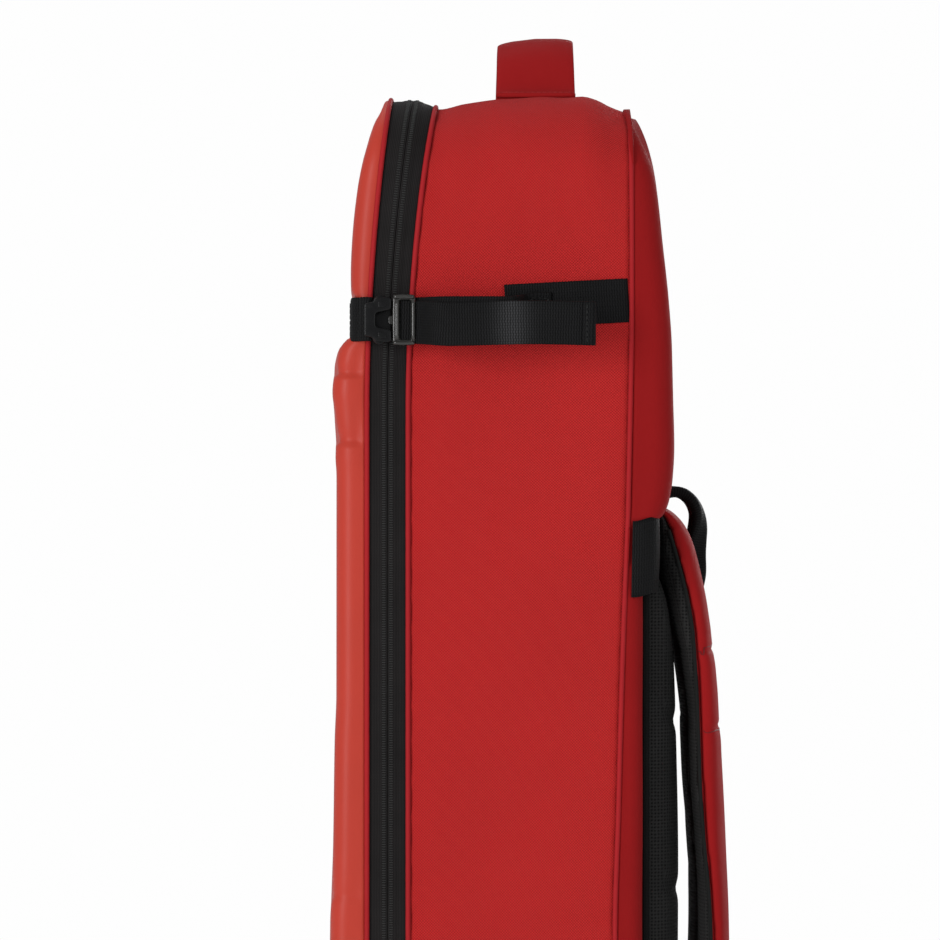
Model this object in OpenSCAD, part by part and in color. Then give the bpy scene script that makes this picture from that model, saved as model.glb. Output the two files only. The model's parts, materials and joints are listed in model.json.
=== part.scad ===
// Hockey stick bag that stands on its base: a tall soft-sided body, a moulded front lid
// on a zip that runs up one side, over the top and down the other, and a backpack harness.
// +Z is up, the lid faces -X, the harness faces +X and the stick strap is on the -Y side.
// The origin is on the resting face, below the middle of the shell's depth and width.

/* [Shell] */
// Height of the body without the handle
bag_h = 980; // [920:5:1040]
// Width across the two side panels
bag_w = 240; // [230:2:260]
// Depth of a side panel, from the front seam to the rear seam
side_depth = 120; // [115:1:135]
// Place of the rear seam behind the middle of the bag
rear_seam = 76; // [72:1:82]
// Radius of the two top corners, seen from the front
corner_r = 45; // [35:1:60]
// How far the front edge leans back at the top
front_lean = 15.5; // [8:0.5:20]
// Height at which the front edge starts to lean back
lean_start = 800; // [760:5:820]
// Thickness of the woven shell fabric with its coating
fabric_t = 1.2; // [0.8:0.1:1.5]
// Thickness of the foam core in the side panels
foam_t = 4; // [3:0.5:5]
// Diameter of the piping along the seams
piping_d = 2.4; // [2:0.1:3]

/* [Base] */
// Thickness of the coated base panel
base_t = 3; // [2:0.5:4]
// Thickness of the stiff board on the base
board_t = 3.5; // [3:0.5:5]
// Height of the lid's fabric hinge above the resting face
hinge_z = 28; // [26:1:34]

/* [Lid] */
// Depth of the moulded lid below the ledge
lid_low_depth = 16; // [14:0.5:18]
// Extra depth where the lower part of the lid swells
lid_swell = 5; // [0:0.5:6]
// Depth of the moulded lid above the strap
lid_top_depth = 12; // [10:0.5:13]
// Depth of the moulded lid in the channel that takes the strap
lid_strap_depth = 8.5; // [8:0.5:10]
// Height of the ledge below the strap
ledge_z = 836; // [826:1:838]
// Thickness of the moulded lid
lid_t = 4; // [3:0.5:5]

/* [Zip] */
// Width of the closed zip band, both tapes together
zip_w = 21; // [18:0.5:24]
// Width of the two rows of teeth together
coil_w = 6; // [5:0.5:8]

/* [Stick strap] */
// Width of all the webbing
webbing_w = 25; // [20:1:25]
// Thickness of the webbing
webbing_t = 1.6; // [1.4:0.1:1.8]
// Height of the middle of the stick strap
strap_z = 854.5; // [852:0.5:858]
// Room under the strap for the stick's shaft
stick_room = 23; // [20:1:28]
// Length of the strap's arch over the stick
stick_span = 47; // [44:1:50]

/* [Harness] */
// Middle of each shoulder strap to the middle of the bag
strap_y = 62; // [60:1:66]
// Width of a shoulder strap
strap_w = 64; // [58:1:66]
// Thickness of the padded part, and of the mesh that faces the wearer
pad_t = 10; // [8:0.5:11]

/* [Carry handle] */
// Width of the handle's band
handle_w = 44; // [38:1:48]
// Height of the handle above the body
handle_h = 41; // [28:1:46]
// Distance between the handle's feet
handle_span = 120; // [100:5:140]

/* [Hidden] */

shell_red = "#b4262a";
lid_red = "#c23a34";
dark = "#1b1d1e";
mesh_black = "#2a2a2c";
board_grey = "#6c6f72";
foam_grey = "#b9b9b4";

arc_fn = 64;
gap = 0.3;
reach = 600;

// Depths of the seams and bands at rest, before the lean at the top is added
front_seam = rear_seam - side_depth;
zip_rear = front_seam - piping_d;
zip_middle = zip_rear - zip_w / 2;
zip_front = zip_rear - zip_w;
lid_seam = zip_front - piping_d;
back_edge = rear_seam + piping_d;
back_x = back_edge + 9.6;

half_w = bag_w / 2;
shoulder_z = bag_h - corner_r;
tape_t = 1;
teeth_t = 2.2;
ledge_rise = 6;
lid_z = hinge_z + 1;
side_t = fabric_t + foam_t;

// Levels at which the outline seen from the side changes direction
swell_levels = [for (i = [1 : 7]) lid_z + i * 80];
lean_levels = [for (i = [1 : 8]) lean_start + i * (bag_h - lean_start) / 9];
channel_z = [ledge_z, ledge_z + ledge_rise, 868, 874];
all_levels = concat(swell_levels, channel_z, lean_levels);

function lean(z) = front_lean * pow(max(0, z - lean_start) / (bag_h - lean_start), 2);

function swell(z) = z > swell_end ? 0 : lid_swell * sin(180 * (z - lid_z) / (swell_end - lid_z));
swell_end = 600;

// Depth of the moulded lid: it steps in below the strap and out again above it
function ramp(z, z1, z2) = min(1, max(0, (z - z1) / (z2 - z1)));
function mix(a, b, t) = a + (b - a) * t;
function lid_depth(z) =
    let (low = lid_low_depth + swell(z))
    let (strap = mix(low, lid_strap_depth, ramp(z, channel_z[0], channel_z[1])))
    mix(strap, lid_top_depth, ramp(z, channel_z[2], channel_z[3]));

// Heights between two limits, in order, with the limits themselves
function levels(z1, z2) = let (inner = [for (z = all_levels) if (z > z1 && z < z2) z])
    concat([z1], sorted(inner), [z2]);
function sorted(v) = len(v) < 2 ? v : let (p = v[0])
    concat(sorted([for (x = v) if (x < p) x]), [for (x = v) if (x == p) x][0],
           sorted([for (x = v) if (x > p) x]));
function reversed(v) = [for (i = [len(v) - 1 : -1 : 0]) v[i]];

// A depth that follows the leaning front edge, as a function of height
function leaning(x) = function (z) x + lean(z);
function upright(x) = function (z) x;

// Solid between two depths seen from the side, across a width in Y
module side_strip(front, rear, z1, z2, y1, y2) {
    zs = levels(z1, z2);
    outline = concat([for (z = zs) [front(z), z]], [for (z = reversed(zs)) [rear(z), z]]);
    translate([0, y2, 0])
        rotate([90, 0, 0])
            linear_extrude(y2 - y1) polygon(outline);
}

// Outline of the bag seen from the front
module front_outline(inset) {
    w = half_w - inset;
    r = corner_r - inset;
    top = bag_h - inset;
    translate([-w, 0]) square([2 * w, top - r]);
    translate([r - w, top - r - 1]) square([2 * (w - r), r + 1]);
    for (side = [-1, 1])
        translate([side * (w - r), top - r]) circle(r, $fn = arc_fn);
}

module along_x(x1, x2) {
    translate([x1, 0, 0]) rotate([90, 0, 90]) linear_extrude(x2 - x1) children();
}

// Band of the bag's skin between two insets, two depths and two heights
module skin(front, rear, inset1, inset2, z1, z2) {
    intersection() {
        along_x(-reach / 2, reach / 2) difference() {
            front_outline(inset1);
            front_outline(inset2);
        }
        side_strip(front, rear, z1, z2, -half_w - 5, half_w + 5);
    }
}

module on_side(side) {
    intersection() {
        children();
        translate([-reach, side < 0 ? -reach : 0, -1]) cube([2 * reach, reach, 2 * bag_h]);
    }
}

module box(x1, x2, y1, y2, z1, z2) {
    translate([x1, y1, z1]) cube([x2 - x1, y2 - y1, z2 - z1]);
}

// Box on one side of the bag: y1 and y2 are distances from the middle
module side_box(side, x1, x2, y1, y2, z1, z2) {
    box(x1, x2, min(side * y1, side * y2), max(side * y1, side * y2), z1, z2);
}

// Flat plate with round corners, seen from the side, across y1 to y2
module rounded_plate(x1, x2, z1, z2, r, y1, y2) {
    translate([0, y2, 0]) rotate([90, 0, 0]) linear_extrude(y2 - y1) {
        translate([x1 + r, z1]) square([x2 - x1 - 2 * r, z2 - z1]);
        translate([x1, z1 + r]) square([x2 - x1, z2 - z1 - 2 * r]);
        for (x = [x1 + r, x2 - r], z = [z1 + r, z2 - r])
            translate([x, z]) circle(r, $fn = arc_fn);
    }
}

// ---- Body ----

// Side panel, with the foot that runs forward below the zip to meet the sill
module side_panel(side) {
    color(shell_red) {
        on_side(side)
            skin(leaning(front_seam), upright(rear_seam), 0, fabric_t, base_t, shoulder_z);
        side_box(side, base_front + sill_t, front_seam + 1, half_w - fabric_t, half_w,
                 base_t, hinge_z);
    }
}

module side_foam(side) {
    color(foam_grey)
        on_side(side)
            skin(leaning(front_seam + 1), upright(rear_seam - 1), fabric_t, side_t,
                 base_t + board_t, shoulder_z);
}

module top_panel() {
    color(shell_red)
        skin(leaning(front_seam), upright(rear_seam), 0, side_t, shoulder_z, bag_h);
}

module back_panel() {
    color(shell_red) {
        skin(upright(back_edge), upright(back_x - 1), 0, fabric_t, base_t, bag_h);
        intersection() {
            along_x(back_x - fabric_t, back_x) front_outline(0);
            box(0, reach, -reach, reach, base_t, bag_h);
        }
    }
}

sheet_t = 1.5;
module back_foam() {
    color(foam_grey)
        intersection() {
            along_x(back_edge + sheet_t, back_x - fabric_t) front_outline(fabric_t);
            box(0, reach, -reach, reach, base_t + board_t, bag_h);
        }
}

module back_framesheet() {
    color(board_grey)
        intersection() {
            along_x(back_edge, back_edge + sheet_t) front_outline(20);
            box(0, reach, -reach, reach, base_t + board_t, bag_h);
        }
}

// Padded upper back that swells out to its fullest just above the harness
upper_pad_z1 = 742;
upper_pad_z2 = 966;
upper_pad_depth = 17.5;
upper_pad_fullest = 784;
function upper_pad(z) = back_x + upper_pad_depth * (z > upper_pad_fullest
    ? pow(1 - pow((z - upper_pad_fullest) / (upper_pad_z2 - upper_pad_fullest), 2), 0.8)
    : pow(1 - pow((upper_pad_fullest - z) / 60, 2), 0.5));
module upper_back_pad() {
    zs = [for (i = [0 : 14]) upper_pad_z1 + i * (upper_pad_z2 - upper_pad_z1) / 14];
    outline = concat([for (z = zs) [upper_pad(z), z]],
                     [[back_x, upper_pad_z2], [back_x, upper_pad_z1]]);
    color(shell_red)
        translate([0, half_w - 14, 0]) rotate([90, 0, 0])
            linear_extrude(bag_w - 28) polygon(outline);
}

base_front = lid_seam + 1;
base_rear = back_x - 1;
module base_panel() {
    r = 12;
    color(dark) linear_extrude(base_t) {
        translate([base_front + r, -half_w]) square([base_rear - base_front - 2 * r, bag_w]);
        translate([base_front, r - half_w]) square([base_rear - base_front, bag_w - 2 * r]);
        for (x = [base_front + r, base_rear - r], y = [-1, 1])
            translate([x, y * (half_w - r)]) circle(r, $fn = arc_fn);
    }
}

sill_t = 2.4;
module base_board() {
    color(board_grey)
        box(base_front + sill_t + 0.5, back_edge - 0.5, 8 - half_w, half_w - 8,
            base_t, base_t + board_t);
}

module front_sill() {
    color(dark) box(base_front, base_front + sill_t, 4 - half_w, half_w - 4, base_t, hinge_z - 3);
}

// Fabric hinge that joins the top of the sill to the foot of the lid
module lid_hinge_strip() {
    color(lid_red)
        box(base_front - 1.4, base_front - 0.2, 12 - half_w, half_w - 12, hinge_z - 10, hinge_z + 0.8);
}

module zip_tape(front, rear) {
    color(dark) skin(leaning(front), leaning(rear), 0.5, 0.5 + tape_t, hinge_z + 2, bag_h);
}

module zip_teeth(front, rear) {
    color(mesh_black)
        skin(leaning(front), leaning(rear), 0.5 + tape_t, 0.5 + tape_t + teeth_t,
             hinge_z + 6, bag_h);
}

module body_piping() {
    color(shell_red)
        skin(leaning(zip_rear), leaning(front_seam), -1, 1.4, hinge_z + 2, bag_h + 1);
}

module rear_piping() {
    color(shell_red) skin(upright(rear_seam), upright(back_edge), -1, 1.4, base_t, bag_h + 1);
}

// ---- Lid ----

module lid_shell() {
    outer = function (z) lid_seam + lean(z) - lid_depth(z);
    inner = function (z) lid_seam + lean(z) - lid_depth(z) + lid_t;
    color(lid_red)
        intersection() {
            side_strip(outer, inner, lid_z, bag_h, -half_w, half_w);
            along_x(-reach, 0) front_outline(0);
        }
}

lid_wall_t = 2;
module lid_wall(side) {
    inner = function (z) lid_seam + lean(z) - lid_depth(z) + lid_t;
    color(lid_red)
        on_side(side) skin(inner, leaning(lid_seam), 0, lid_wall_t, lid_z + lid_wall_t, shoulder_z);
}

module lid_top_wall() {
    inner = function (z) lid_seam + lean(z) - lid_depth(z) + lid_t;
    color(lid_red) skin(inner, leaning(lid_seam), 0, lid_wall_t, shoulder_z, bag_h);
}

module lid_bottom_wall() {
    color(lid_red)
        box(lid_seam - lid_low_depth + lid_t, lid_seam, lid_wall_t - half_w, half_w - lid_wall_t,
            lid_z, lid_z + lid_wall_t);
}

module lid_piping() {
    color(lid_red)
        skin(leaning(lid_seam), leaning(zip_front), -1, 1.4, hinge_z + 2, bag_h + 1);
}

mesh_top = 620;
module lid_mesh_pocket() {
    color(mesh_black) box(zip_front, zip_front + 1, 3 - half_w, half_w - 3, lid_z + 6, mesh_top);
}

web_lo = strap_z - webbing_w / 2;
web_hi = strap_z + webbing_w / 2;
lid_face = lid_seam - lid_strap_depth + lean(web_lo) - gap;
near_face = half_w + 1;
module front_webbing() {
    color(dark) {
        box(lid_face - webbing_t, lid_face, -near_face - webbing_t, near_face + webbing_t,
            web_lo, web_hi);
        side_box(-1, lid_face, housing_x1, near_face, near_face + webbing_t, web_lo, web_hi);
        side_box(1, lid_face, lid_seam, near_face, near_face + webbing_t, web_lo, web_hi);
    }
}

// ---- Side-release buckle, closed, with its length along X ----

buckle_h = 29;
buckle_z = strap_z;
housing_x1 = -72;
housing_x2 = -54;
plug_x2 = -41;
buckle_y1 = -half_w - 12;
buckle_y2 = -half_w - 2;
pocket_y1 = buckle_y1 + 2.4;
pocket_y2 = buckle_y2 - 2.4;
pocket_half = 12.2;
arm_w = 3;
arm_out = 10.8;

module buckle_housing() {
    color(dark) difference() {
        rounded_plate(housing_x1, housing_x2, buckle_z - buckle_h / 2, buckle_z + buckle_h / 2,
                      3, buckle_y1, buckle_y2);
        box(housing_x1 + 3, housing_x2 + 1, pocket_y1, pocket_y2,
            buckle_z - pocket_half, buckle_z + pocket_half);
        box(housing_x2 - 9, housing_x2 + 1, buckle_y1 - 1, pocket_y1 + 1,
            buckle_z - 5, buckle_z + 5);
        for (side = [-1, 1])
            box(housing_x1 + 5, housing_x2 - 4, pocket_y1, pocket_y2,
                buckle_z + side * 13.5 - 2.5, buckle_z + side * 13.5 + 2.5);
    }
}

module buckle_plug() {
    guide_y = (pocket_y1 + pocket_y2) / 2;
    color(dark) {
        difference() {
            rounded_plate(housing_x2 + gap, plug_x2, buckle_z - buckle_h / 2,
                          buckle_z + buckle_h / 2, 2, buckle_y1 + 1, buckle_y2 - 1);
            for (x = [-50.5, -45.5])
                box(x, x + 2.6, buckle_y1, buckle_y2, buckle_z - 12.8, buckle_z + 12.8);
        }
        box(housing_x1 + 5, housing_x2 + 1, guide_y - 1.5, guide_y + 1.5,
            buckle_z - 3, buckle_z + 3);
    }
}

module latch_arm(side) {
    guide_y = (pocket_y1 + pocket_y2) / 2;
    z1 = side > 0 ? buckle_z + arm_out - arm_w : buckle_z - arm_out;
    color(dark)
        rounded_plate(housing_x1 + 4.5, housing_x2, z1, z1 + arm_w, 1.2,
                      guide_y - 1.8, guide_y + 1.8);
}

// ---- Stick strap ----

strap_floor = -half_w - 0.3;
module stick_strap_anchor() {
    color(dark)
        box(stick_rear + 4, rear_seam - gap, strap_floor - webbing_t, strap_floor, web_lo + 8, web_hi + 8);
}

stick_front = plug_x2;
stick_rear = stick_front + stick_span;
arch_y = strap_floor - webbing_t - gap;
arch_top = arch_y - stick_room;
module stick_strap_arch() {
    t = webbing_t;
    outline = [
        [stick_front, buckle_y1 + 3], [stick_front + 3, arch_top], [stick_rear - 3, arch_top],
        [stick_rear, arch_y], [stick_rear + 14, arch_y], [stick_rear + 14, arch_y - t],
        [stick_rear + t, arch_y - t], [stick_rear - 2, arch_top - t],
        [stick_front + 2, arch_top - t], [stick_front, buckle_y1 + 3 - t]
    ];
    color(dark) translate([0, 0, web_lo]) linear_extrude(webbing_w) polygon(outline);
}

tail_end = 60;
module strap_tail() {
    y = arch_top - webbing_t;
    color(dark) {
        box(stick_front, tail_end - 6, y - gap - webbing_t, y - gap, web_lo - 3, web_hi - 3);
        box(tail_end - 6, tail_end, y - gap - 2 * webbing_t, y - gap, web_lo - 3, web_hi - 3);
    }
}

// Open-topped sleeve low on the side that holds the end of the stick's handle
sleeve_t = 2;
sleeve_z1 = 40;
sleeve_z2 = 190;
sleeve_out = 28;
sleeve_x1 = front_seam + 1;
sleeve_x2 = sleeve_x1 + 58;
module stick_sleeve() {
    color(shell_red) difference() {
        side_box(-1, sleeve_x1, sleeve_x2, half_w + gap, half_w + sleeve_out, sleeve_z1, sleeve_z2);
        side_box(-1, sleeve_x1 + sleeve_t, sleeve_x2 - sleeve_t, half_w, half_w + sleeve_out - sleeve_t,
                 sleeve_z1 + sleeve_t, sleeve_z2 + 1);
    }
}

// ---- Zip sliders, parked side by side on the far side panel ----

slider_l = 15;
slider_hw = 5.2;
slider_gap = 20;
slider_z = 640;
slider_y = half_w;

module zip_slider(z) {
    color(dark) translate([zip_middle, slider_y, z]) {
        difference() {
            box(-slider_hw, slider_hw, 0.4, 2.4, -slider_l / 2, slider_l / 2);
            translate([-slider_hw, 0.4, 0]) rotate([0, 45, 0]) cube([2, 6, 2], center = true);
        }
        difference() {
            box(-1.5, 1.5, 2.4, 6.4, -5, 5);
            rotate([0, 90, 0]) translate([0, 4.2, 0]) cylinder(6, r = 1.3, center = true, $fn = 32);
        }
    }
}

pull_y = slider_y + 4.2;
module zip_pull(z) {
    color(dark) translate([zip_middle, pull_y, z]) {
        rotate([0, 90, 0]) cylinder(5.4, r = 1, center = true, $fn = 32);
        for (side = [-1, 1]) box(side > 0 ? 1.9 : -3.6, side > 0 ? 3.6 : -1.9, -0.9, 0.9, -9.5, 1);
        box(-3.6, 3.6, -0.9, 0.9, -30, -8);
    }
}

// ---- Carry handle on the top ----

handle_x = 28;
handle_t = 5;
grip_half = handle_span / 2 - 18;
// End of the handle: the foot sewn to the top and the leg that rises from it to the grip
module handle_end(side) {
    foot = handle_span / 2;
    top = bag_h + handle_h;
    outline = [
        [foot + 12, bag_h + gap], [foot + 12, bag_h + 2], [foot + 3, bag_h + 4],
        [grip_half + gap, top], [grip_half + gap, top - handle_t],
        [foot - 3, bag_h + 2], [foot - 12, bag_h + 2], [foot - 12, bag_h + gap]
    ];
    color(shell_red)
        along_x(handle_x - handle_w / 2, handle_x + handle_w / 2)
            polygon([for (p = outline) [side * p.x, p.y]]);
}

module carry_handle() {
    color(shell_red)
        box(handle_x - handle_w / 2, handle_x + handle_w / 2, -grip_half, grip_half,
            bag_h + handle_h - handle_t, bag_h + handle_h);
}

// ---- Harness ----

yoke_z1 = 694;
yoke_z2 = 740;
yoke_t = 9;
module shoulder_yoke() {
    color(dark) box(back_x, back_x + yoke_t, 10 - half_w, half_w - 10, yoke_z1, yoke_z2);
}

module anchor_patch(side) {
    color(dark)
        side_box(side, back_edge + 0.5, back_x + 1, half_w + 0.4, half_w + 1.6, yoke_z1, yoke_z2);
}

mesh_pad_z1 = 330;
mesh_pad_z2 = 684;
mesh_pad_x = back_x + 18;
mesh_pad_r = 120;
module back_mesh_pad(side) {
    color(mesh_black)
        intersection() {
            side_box(side, back_x, mesh_pad_x, 16, 96, mesh_pad_z1, mesh_pad_z2);
            translate([mesh_pad_x - mesh_pad_r, side * 56, mesh_pad_z1 - 1])
                cylinder(mesh_pad_z2 - mesh_pad_z1 + 2, r = mesh_pad_r, $fn = 96);
        }
}

// Line of the face between the pad and its mesh, seen from the side
strap_line = [
    [107, 738], [114, 700], [121.8, 640], [124.3, 580], [127.5, 520],
    [128.5, 460], [126, 400], [122, 350]
];
module strap_layer(side, out) {
    outline = concat(strap_line, [for (p = reversed(strap_line)) [p.x + out, p.y]]);
    y1 = side * strap_y - strap_w / 2;
    translate([0, y1 + strap_w, 0]) rotate([90, 0, 0]) linear_extrude(strap_w) polygon(outline);
}

module shoulder_pad(side) {
    color(shell_red) strap_layer(side, pad_t);
}

module shoulder_mesh(side) {
    color(mesh_black) strap_layer(side, -pad_t + 1);
}

lock_x = strap_line[len(strap_line) - 1].x;
lock_z = strap_line[len(strap_line) - 1].y - gap;
lock_h = 24;
lock_w = 34;
lock_bar_r = 2;
lock_t = 5;
// Ladder lock: a round bar on the joint, held in the strap's end, over a frame with three slots
module ladder_lock(side) {
    y = side * strap_y;
    axis_x = lock_x - 1.5;
    axis_z = lock_z - lock_bar_r;
    color(dark) difference() {
        union() {
            translate([axis_x, y + lock_w / 2, axis_z]) rotate([90, 0, 0])
                cylinder(r = lock_bar_r, h = lock_w);
            box(axis_x - lock_t / 2, axis_x + lock_t / 2, y - lock_w / 2, y + lock_w / 2,
                lock_z - lock_h, axis_z);
        }
        for (z = [5, 12, 18.5])
            box(axis_x - lock_t, axis_x + lock_t, y - 13, y + 13, lock_z - z - 3, lock_z - z);
    }
}

anchor_z = 150;
anchor_y = 98;
module lower_anchor(side) {
    color(dark)
        side_box(side, back_x, back_x + 4, anchor_y - 16, anchor_y + 16, anchor_z, anchor_z + 34);
}

// Webbing between the lower anchor and the ladder lock
module lower_webbing(side) {
    z1 = anchor_z + 34 + gap;
    z2 = lock_z - lock_h - gap;
    y1 = side * anchor_y;
    y2 = side * strap_y;
    color(dark) hull() {
        box(back_x + 1, back_x + 3, y1 - webbing_w / 2, y1 + webbing_w / 2, z1, z1 + 1);
        box(lock_x - 3, lock_x - 1, y2 - webbing_w / 2, y2 + webbing_w / 2, z2 - 1, z2);
    }
}

// Hanging webbing loop between the shoulder straps
haul_x = back_x + yoke_t + 9;
haul_z = 752;
haul_half = 26;
module haul_loop() {
    drop = [
        [haul_x, haul_z - 1.5], [haul_x, haul_z + 1.5], [haul_x + 7, haul_z + 5],
        [haul_x + 15, haul_z - 1], [haul_x + 19, haul_z - 18], [haul_x + 20, haul_z - 40],
        [haul_x + 17, haul_z - 60], [haul_x + 14, haul_z - 60], [haul_x + 17, haul_z - 40],
        [haul_x + 16, haul_z - 18], [haul_x + 12.5, haul_z - 3], [haul_x + 7, haul_z + 2]
    ];
    color(dark) difference() {
        translate([0, haul_half, 0]) rotate([90, 0, 0]) linear_extrude(2 * haul_half) polygon(drop);
        box(haul_x - 1, haul_x + 30, 14 - haul_half, haul_half - 14, haul_z - 48, haul_z + 10);
    }
}

side_panel(-1);  // near_side_panel
side_panel(1);  // far_side_panel
side_foam(-1);  // near_side_foam
side_foam(1);  // far_side_foam
top_panel();
back_panel();
back_foam();
back_framesheet();
upper_back_pad();
base_panel();
base_board();
front_sill();
zip_tape(zip_middle + gap / 2, zip_rear);  // body_zip_tape
zip_teeth(zip_middle + gap / 2, zip_middle + coil_w / 2);  // body_zip_teeth
body_piping();
rear_piping();
stick_strap_anchor();
stick_sleeve();
shoulder_yoke();
anchor_patch(-1);  // anchor_patch_right
anchor_patch(1);  // anchor_patch_left
back_mesh_pad(-1);  // back_mesh_pad_right
back_mesh_pad(1);  // back_mesh_pad_left
lower_anchor(-1);  // lower_anchor_right
lower_anchor(1);  // lower_anchor_left
handle_end(-1);  // handle_end_near
handle_end(1);  // handle_end_far
lid_hinge_strip();
lid_shell();
lid_wall(-1);  // lid_near_wall
lid_wall(1);  // lid_far_wall
lid_top_wall();
lid_bottom_wall();
zip_tape(zip_front, zip_middle - gap / 2);  // lid_zip_tape
zip_teeth(zip_middle - coil_w / 2, zip_middle - gap / 2);  // lid_zip_teeth
lid_piping();
lid_mesh_pocket();
front_webbing();
buckle_housing();
buckle_plug();
latch_arm(1);  // latch_arm_upper
latch_arm(-1);  // latch_arm_lower
stick_strap_arch();
strap_tail();
zip_slider(slider_z + slider_gap);  // zip_slider_upper
zip_slider(slider_z - slider_gap);  // zip_slider_lower
zip_pull(slider_z + slider_gap);  // zip_pull_upper
zip_pull(slider_z - slider_gap);  // zip_pull_lower
carry_handle();
haul_loop();
shoulder_pad(-1);  // shoulder_pad_right
shoulder_pad(1);  // shoulder_pad_left
shoulder_mesh(-1);  // shoulder_mesh_right
shoulder_mesh(1);  // shoulder_mesh_left
ladder_lock(-1);  // ladder_lock_right
ladder_lock(1);  // ladder_lock_left
lower_webbing(-1);  // lower_webbing_right
lower_webbing(1);  // lower_webbing_left
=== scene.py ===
import json
import math

import bmesh
import bpy
import numpy as np
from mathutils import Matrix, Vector


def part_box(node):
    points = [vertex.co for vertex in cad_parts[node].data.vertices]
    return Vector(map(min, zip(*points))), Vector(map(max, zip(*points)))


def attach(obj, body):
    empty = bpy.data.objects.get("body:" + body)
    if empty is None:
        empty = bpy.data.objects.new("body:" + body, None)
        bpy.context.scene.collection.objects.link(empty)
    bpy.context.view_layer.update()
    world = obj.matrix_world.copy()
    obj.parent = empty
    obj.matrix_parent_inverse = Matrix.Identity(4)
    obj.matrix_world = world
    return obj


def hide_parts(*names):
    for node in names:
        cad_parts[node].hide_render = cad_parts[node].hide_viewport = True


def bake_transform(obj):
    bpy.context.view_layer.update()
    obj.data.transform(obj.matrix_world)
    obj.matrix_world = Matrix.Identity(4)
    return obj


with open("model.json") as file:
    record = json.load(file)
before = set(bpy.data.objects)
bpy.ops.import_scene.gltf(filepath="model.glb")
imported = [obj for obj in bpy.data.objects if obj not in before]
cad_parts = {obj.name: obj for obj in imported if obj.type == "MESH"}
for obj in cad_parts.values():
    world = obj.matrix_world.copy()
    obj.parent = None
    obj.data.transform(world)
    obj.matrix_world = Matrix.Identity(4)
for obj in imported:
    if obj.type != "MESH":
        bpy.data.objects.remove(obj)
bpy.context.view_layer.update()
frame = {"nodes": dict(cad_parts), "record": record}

# The hockey stick bag's looks, around its CAD frame. Metres, +Z up, lid towards -X, harness
# towards +X, stick strap on the -Y side.
MM = 0.001
X, Y, Z = 0, 1, 2


def low(node, axis):
    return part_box(node)[0][axis]


def high(node, axis):
    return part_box(node)[1][axis]


def middle(node, axis):
    return (low(node, axis) + high(node, axis)) / 2


def span(node, axis):
    return high(node, axis) - low(node, axis)


# ---- Places that come from the frame ----

HALF_W = high("far_side_panel", Y)
TOP_Z = high("top_panel", Z)
CORNER_Z = low("top_panel", Z)
CORNER_R = TOP_Z - CORNER_Z
BASE_Z = high("base_panel", Z)
FRONT_SEAM = low("near_side_foam", X) - 1 * MM
ZIP_REAR = low("body_piping", X)
ZIP_FRONT = low("lid_zip_tape", X)
ZIP_MIDDLE = (ZIP_REAR + ZIP_FRONT) / 2
LID_SEAM = low("lid_piping", X)
REAR_SEAM = low("rear_piping", X)
BACK_EDGE = high("rear_piping", X)
BACK_X = high("back_panel", X)
LID_BOTTOM = low("lid_shell", Z)
ZIP_BOTTOM = low("lid_zip_tape", Z)
LEAN_START = 800 * MM
LEAN_TOP = high("body_piping", X) - FRONT_SEAM
WEB_W = span("front_webbing", Z)
STRAP_Z = middle("front_webbing", Z)


# ---- Curves ----

def smoothstep(a, b, x):
    t = np.clip((np.asarray(x, float) - a) / (b - a), 0, 1)
    return t * t * (3 - 2 * t)


def curve(x, points, unit=MM):
    """Smooth curve through given (place, value) pairs without overshoot, flat beyond the ends."""
    xs, ys = np.array(points, float).T * unit
    rise = np.diff(ys) / np.diff(xs)
    slopes = np.zeros(len(xs))
    same = rise[:-1] * rise[1:] > 0
    slopes[1:-1][same] = 2 * rise[:-1][same] * rise[1:][same] / (rise[:-1] + rise[1:])[same]
    x = np.clip(np.asarray(x, float), xs[0], xs[-1])
    i = np.clip(np.searchsorted(xs, x, side="right") - 1, 0, len(xs) - 2)
    h = xs[i + 1] - xs[i]
    t = (x - xs[i]) / h
    return ((2 * t**3 - 3 * t**2 + 1) * ys[i] + (t**3 - 2 * t**2 + t) * h * slopes[i]
            + (3 * t**2 - 2 * t**3) * ys[i + 1] + (t**3 - t**2) * h * slopes[i + 1])


def smooth_path(points, step):
    """Points every step along a Catmull-Rom curve through given points in metres."""
    p = np.array(points, float)
    ends = np.vstack([2 * p[0] - p[1], p, 2 * p[-1] - p[-2]])
    dense = []
    for a, b, c, d in zip(ends[:-3], ends[1:-2], ends[2:-1], ends[3:]):
        t = np.linspace(0, 1, 24, endpoint=False)[:, None]
        dense.append(0.5 * (2 * b + (c - a) * t + (2 * a - 5 * b + 4 * c - d) * t**2
                            + (3 * b - a - 3 * c + d) * t**3))
    dense = np.vstack(dense + [p[-1:]])
    return resample(dense, step)


def unit(vectors):
    return vectors / np.linalg.norm(vectors, axis=-1, keepdims=True)


def arc_length(points):
    """Distance along a line of points, from its start to each of them."""
    return np.concatenate([[0], np.cumsum(np.linalg.norm(np.diff(points, axis=0), axis=1))])


def resample(points, step):
    length = arc_length(points)
    count = max(2, int(round(length[-1] / step)) + 1)
    at = np.linspace(0, length[-1], count)
    return np.stack([np.interp(at, length, points[:, k]) for k in range(3)], axis=1)


def flat_path(points, height, step):
    """Smooth path at one height through given points in x and y."""
    return smooth_path([(x, y, height) for x, y in points], step)


def ripple(a, b, seed=0.0):
    """Gentle uneven waves between -1 and 1 over two lengths in metres."""
    waves = [(31, 13, 0.3), (17, 29, 1.7), (53, 37, 2.9), (71, 11, 4.1)]
    total = sum(np.sin(p * a + q * b + r + seed) * np.cos(q * a - p * b * 0.6 + 2 * r + seed)
                for p, q, r in waves)
    return total / len(waves)


# ---- Meshes ----

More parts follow.
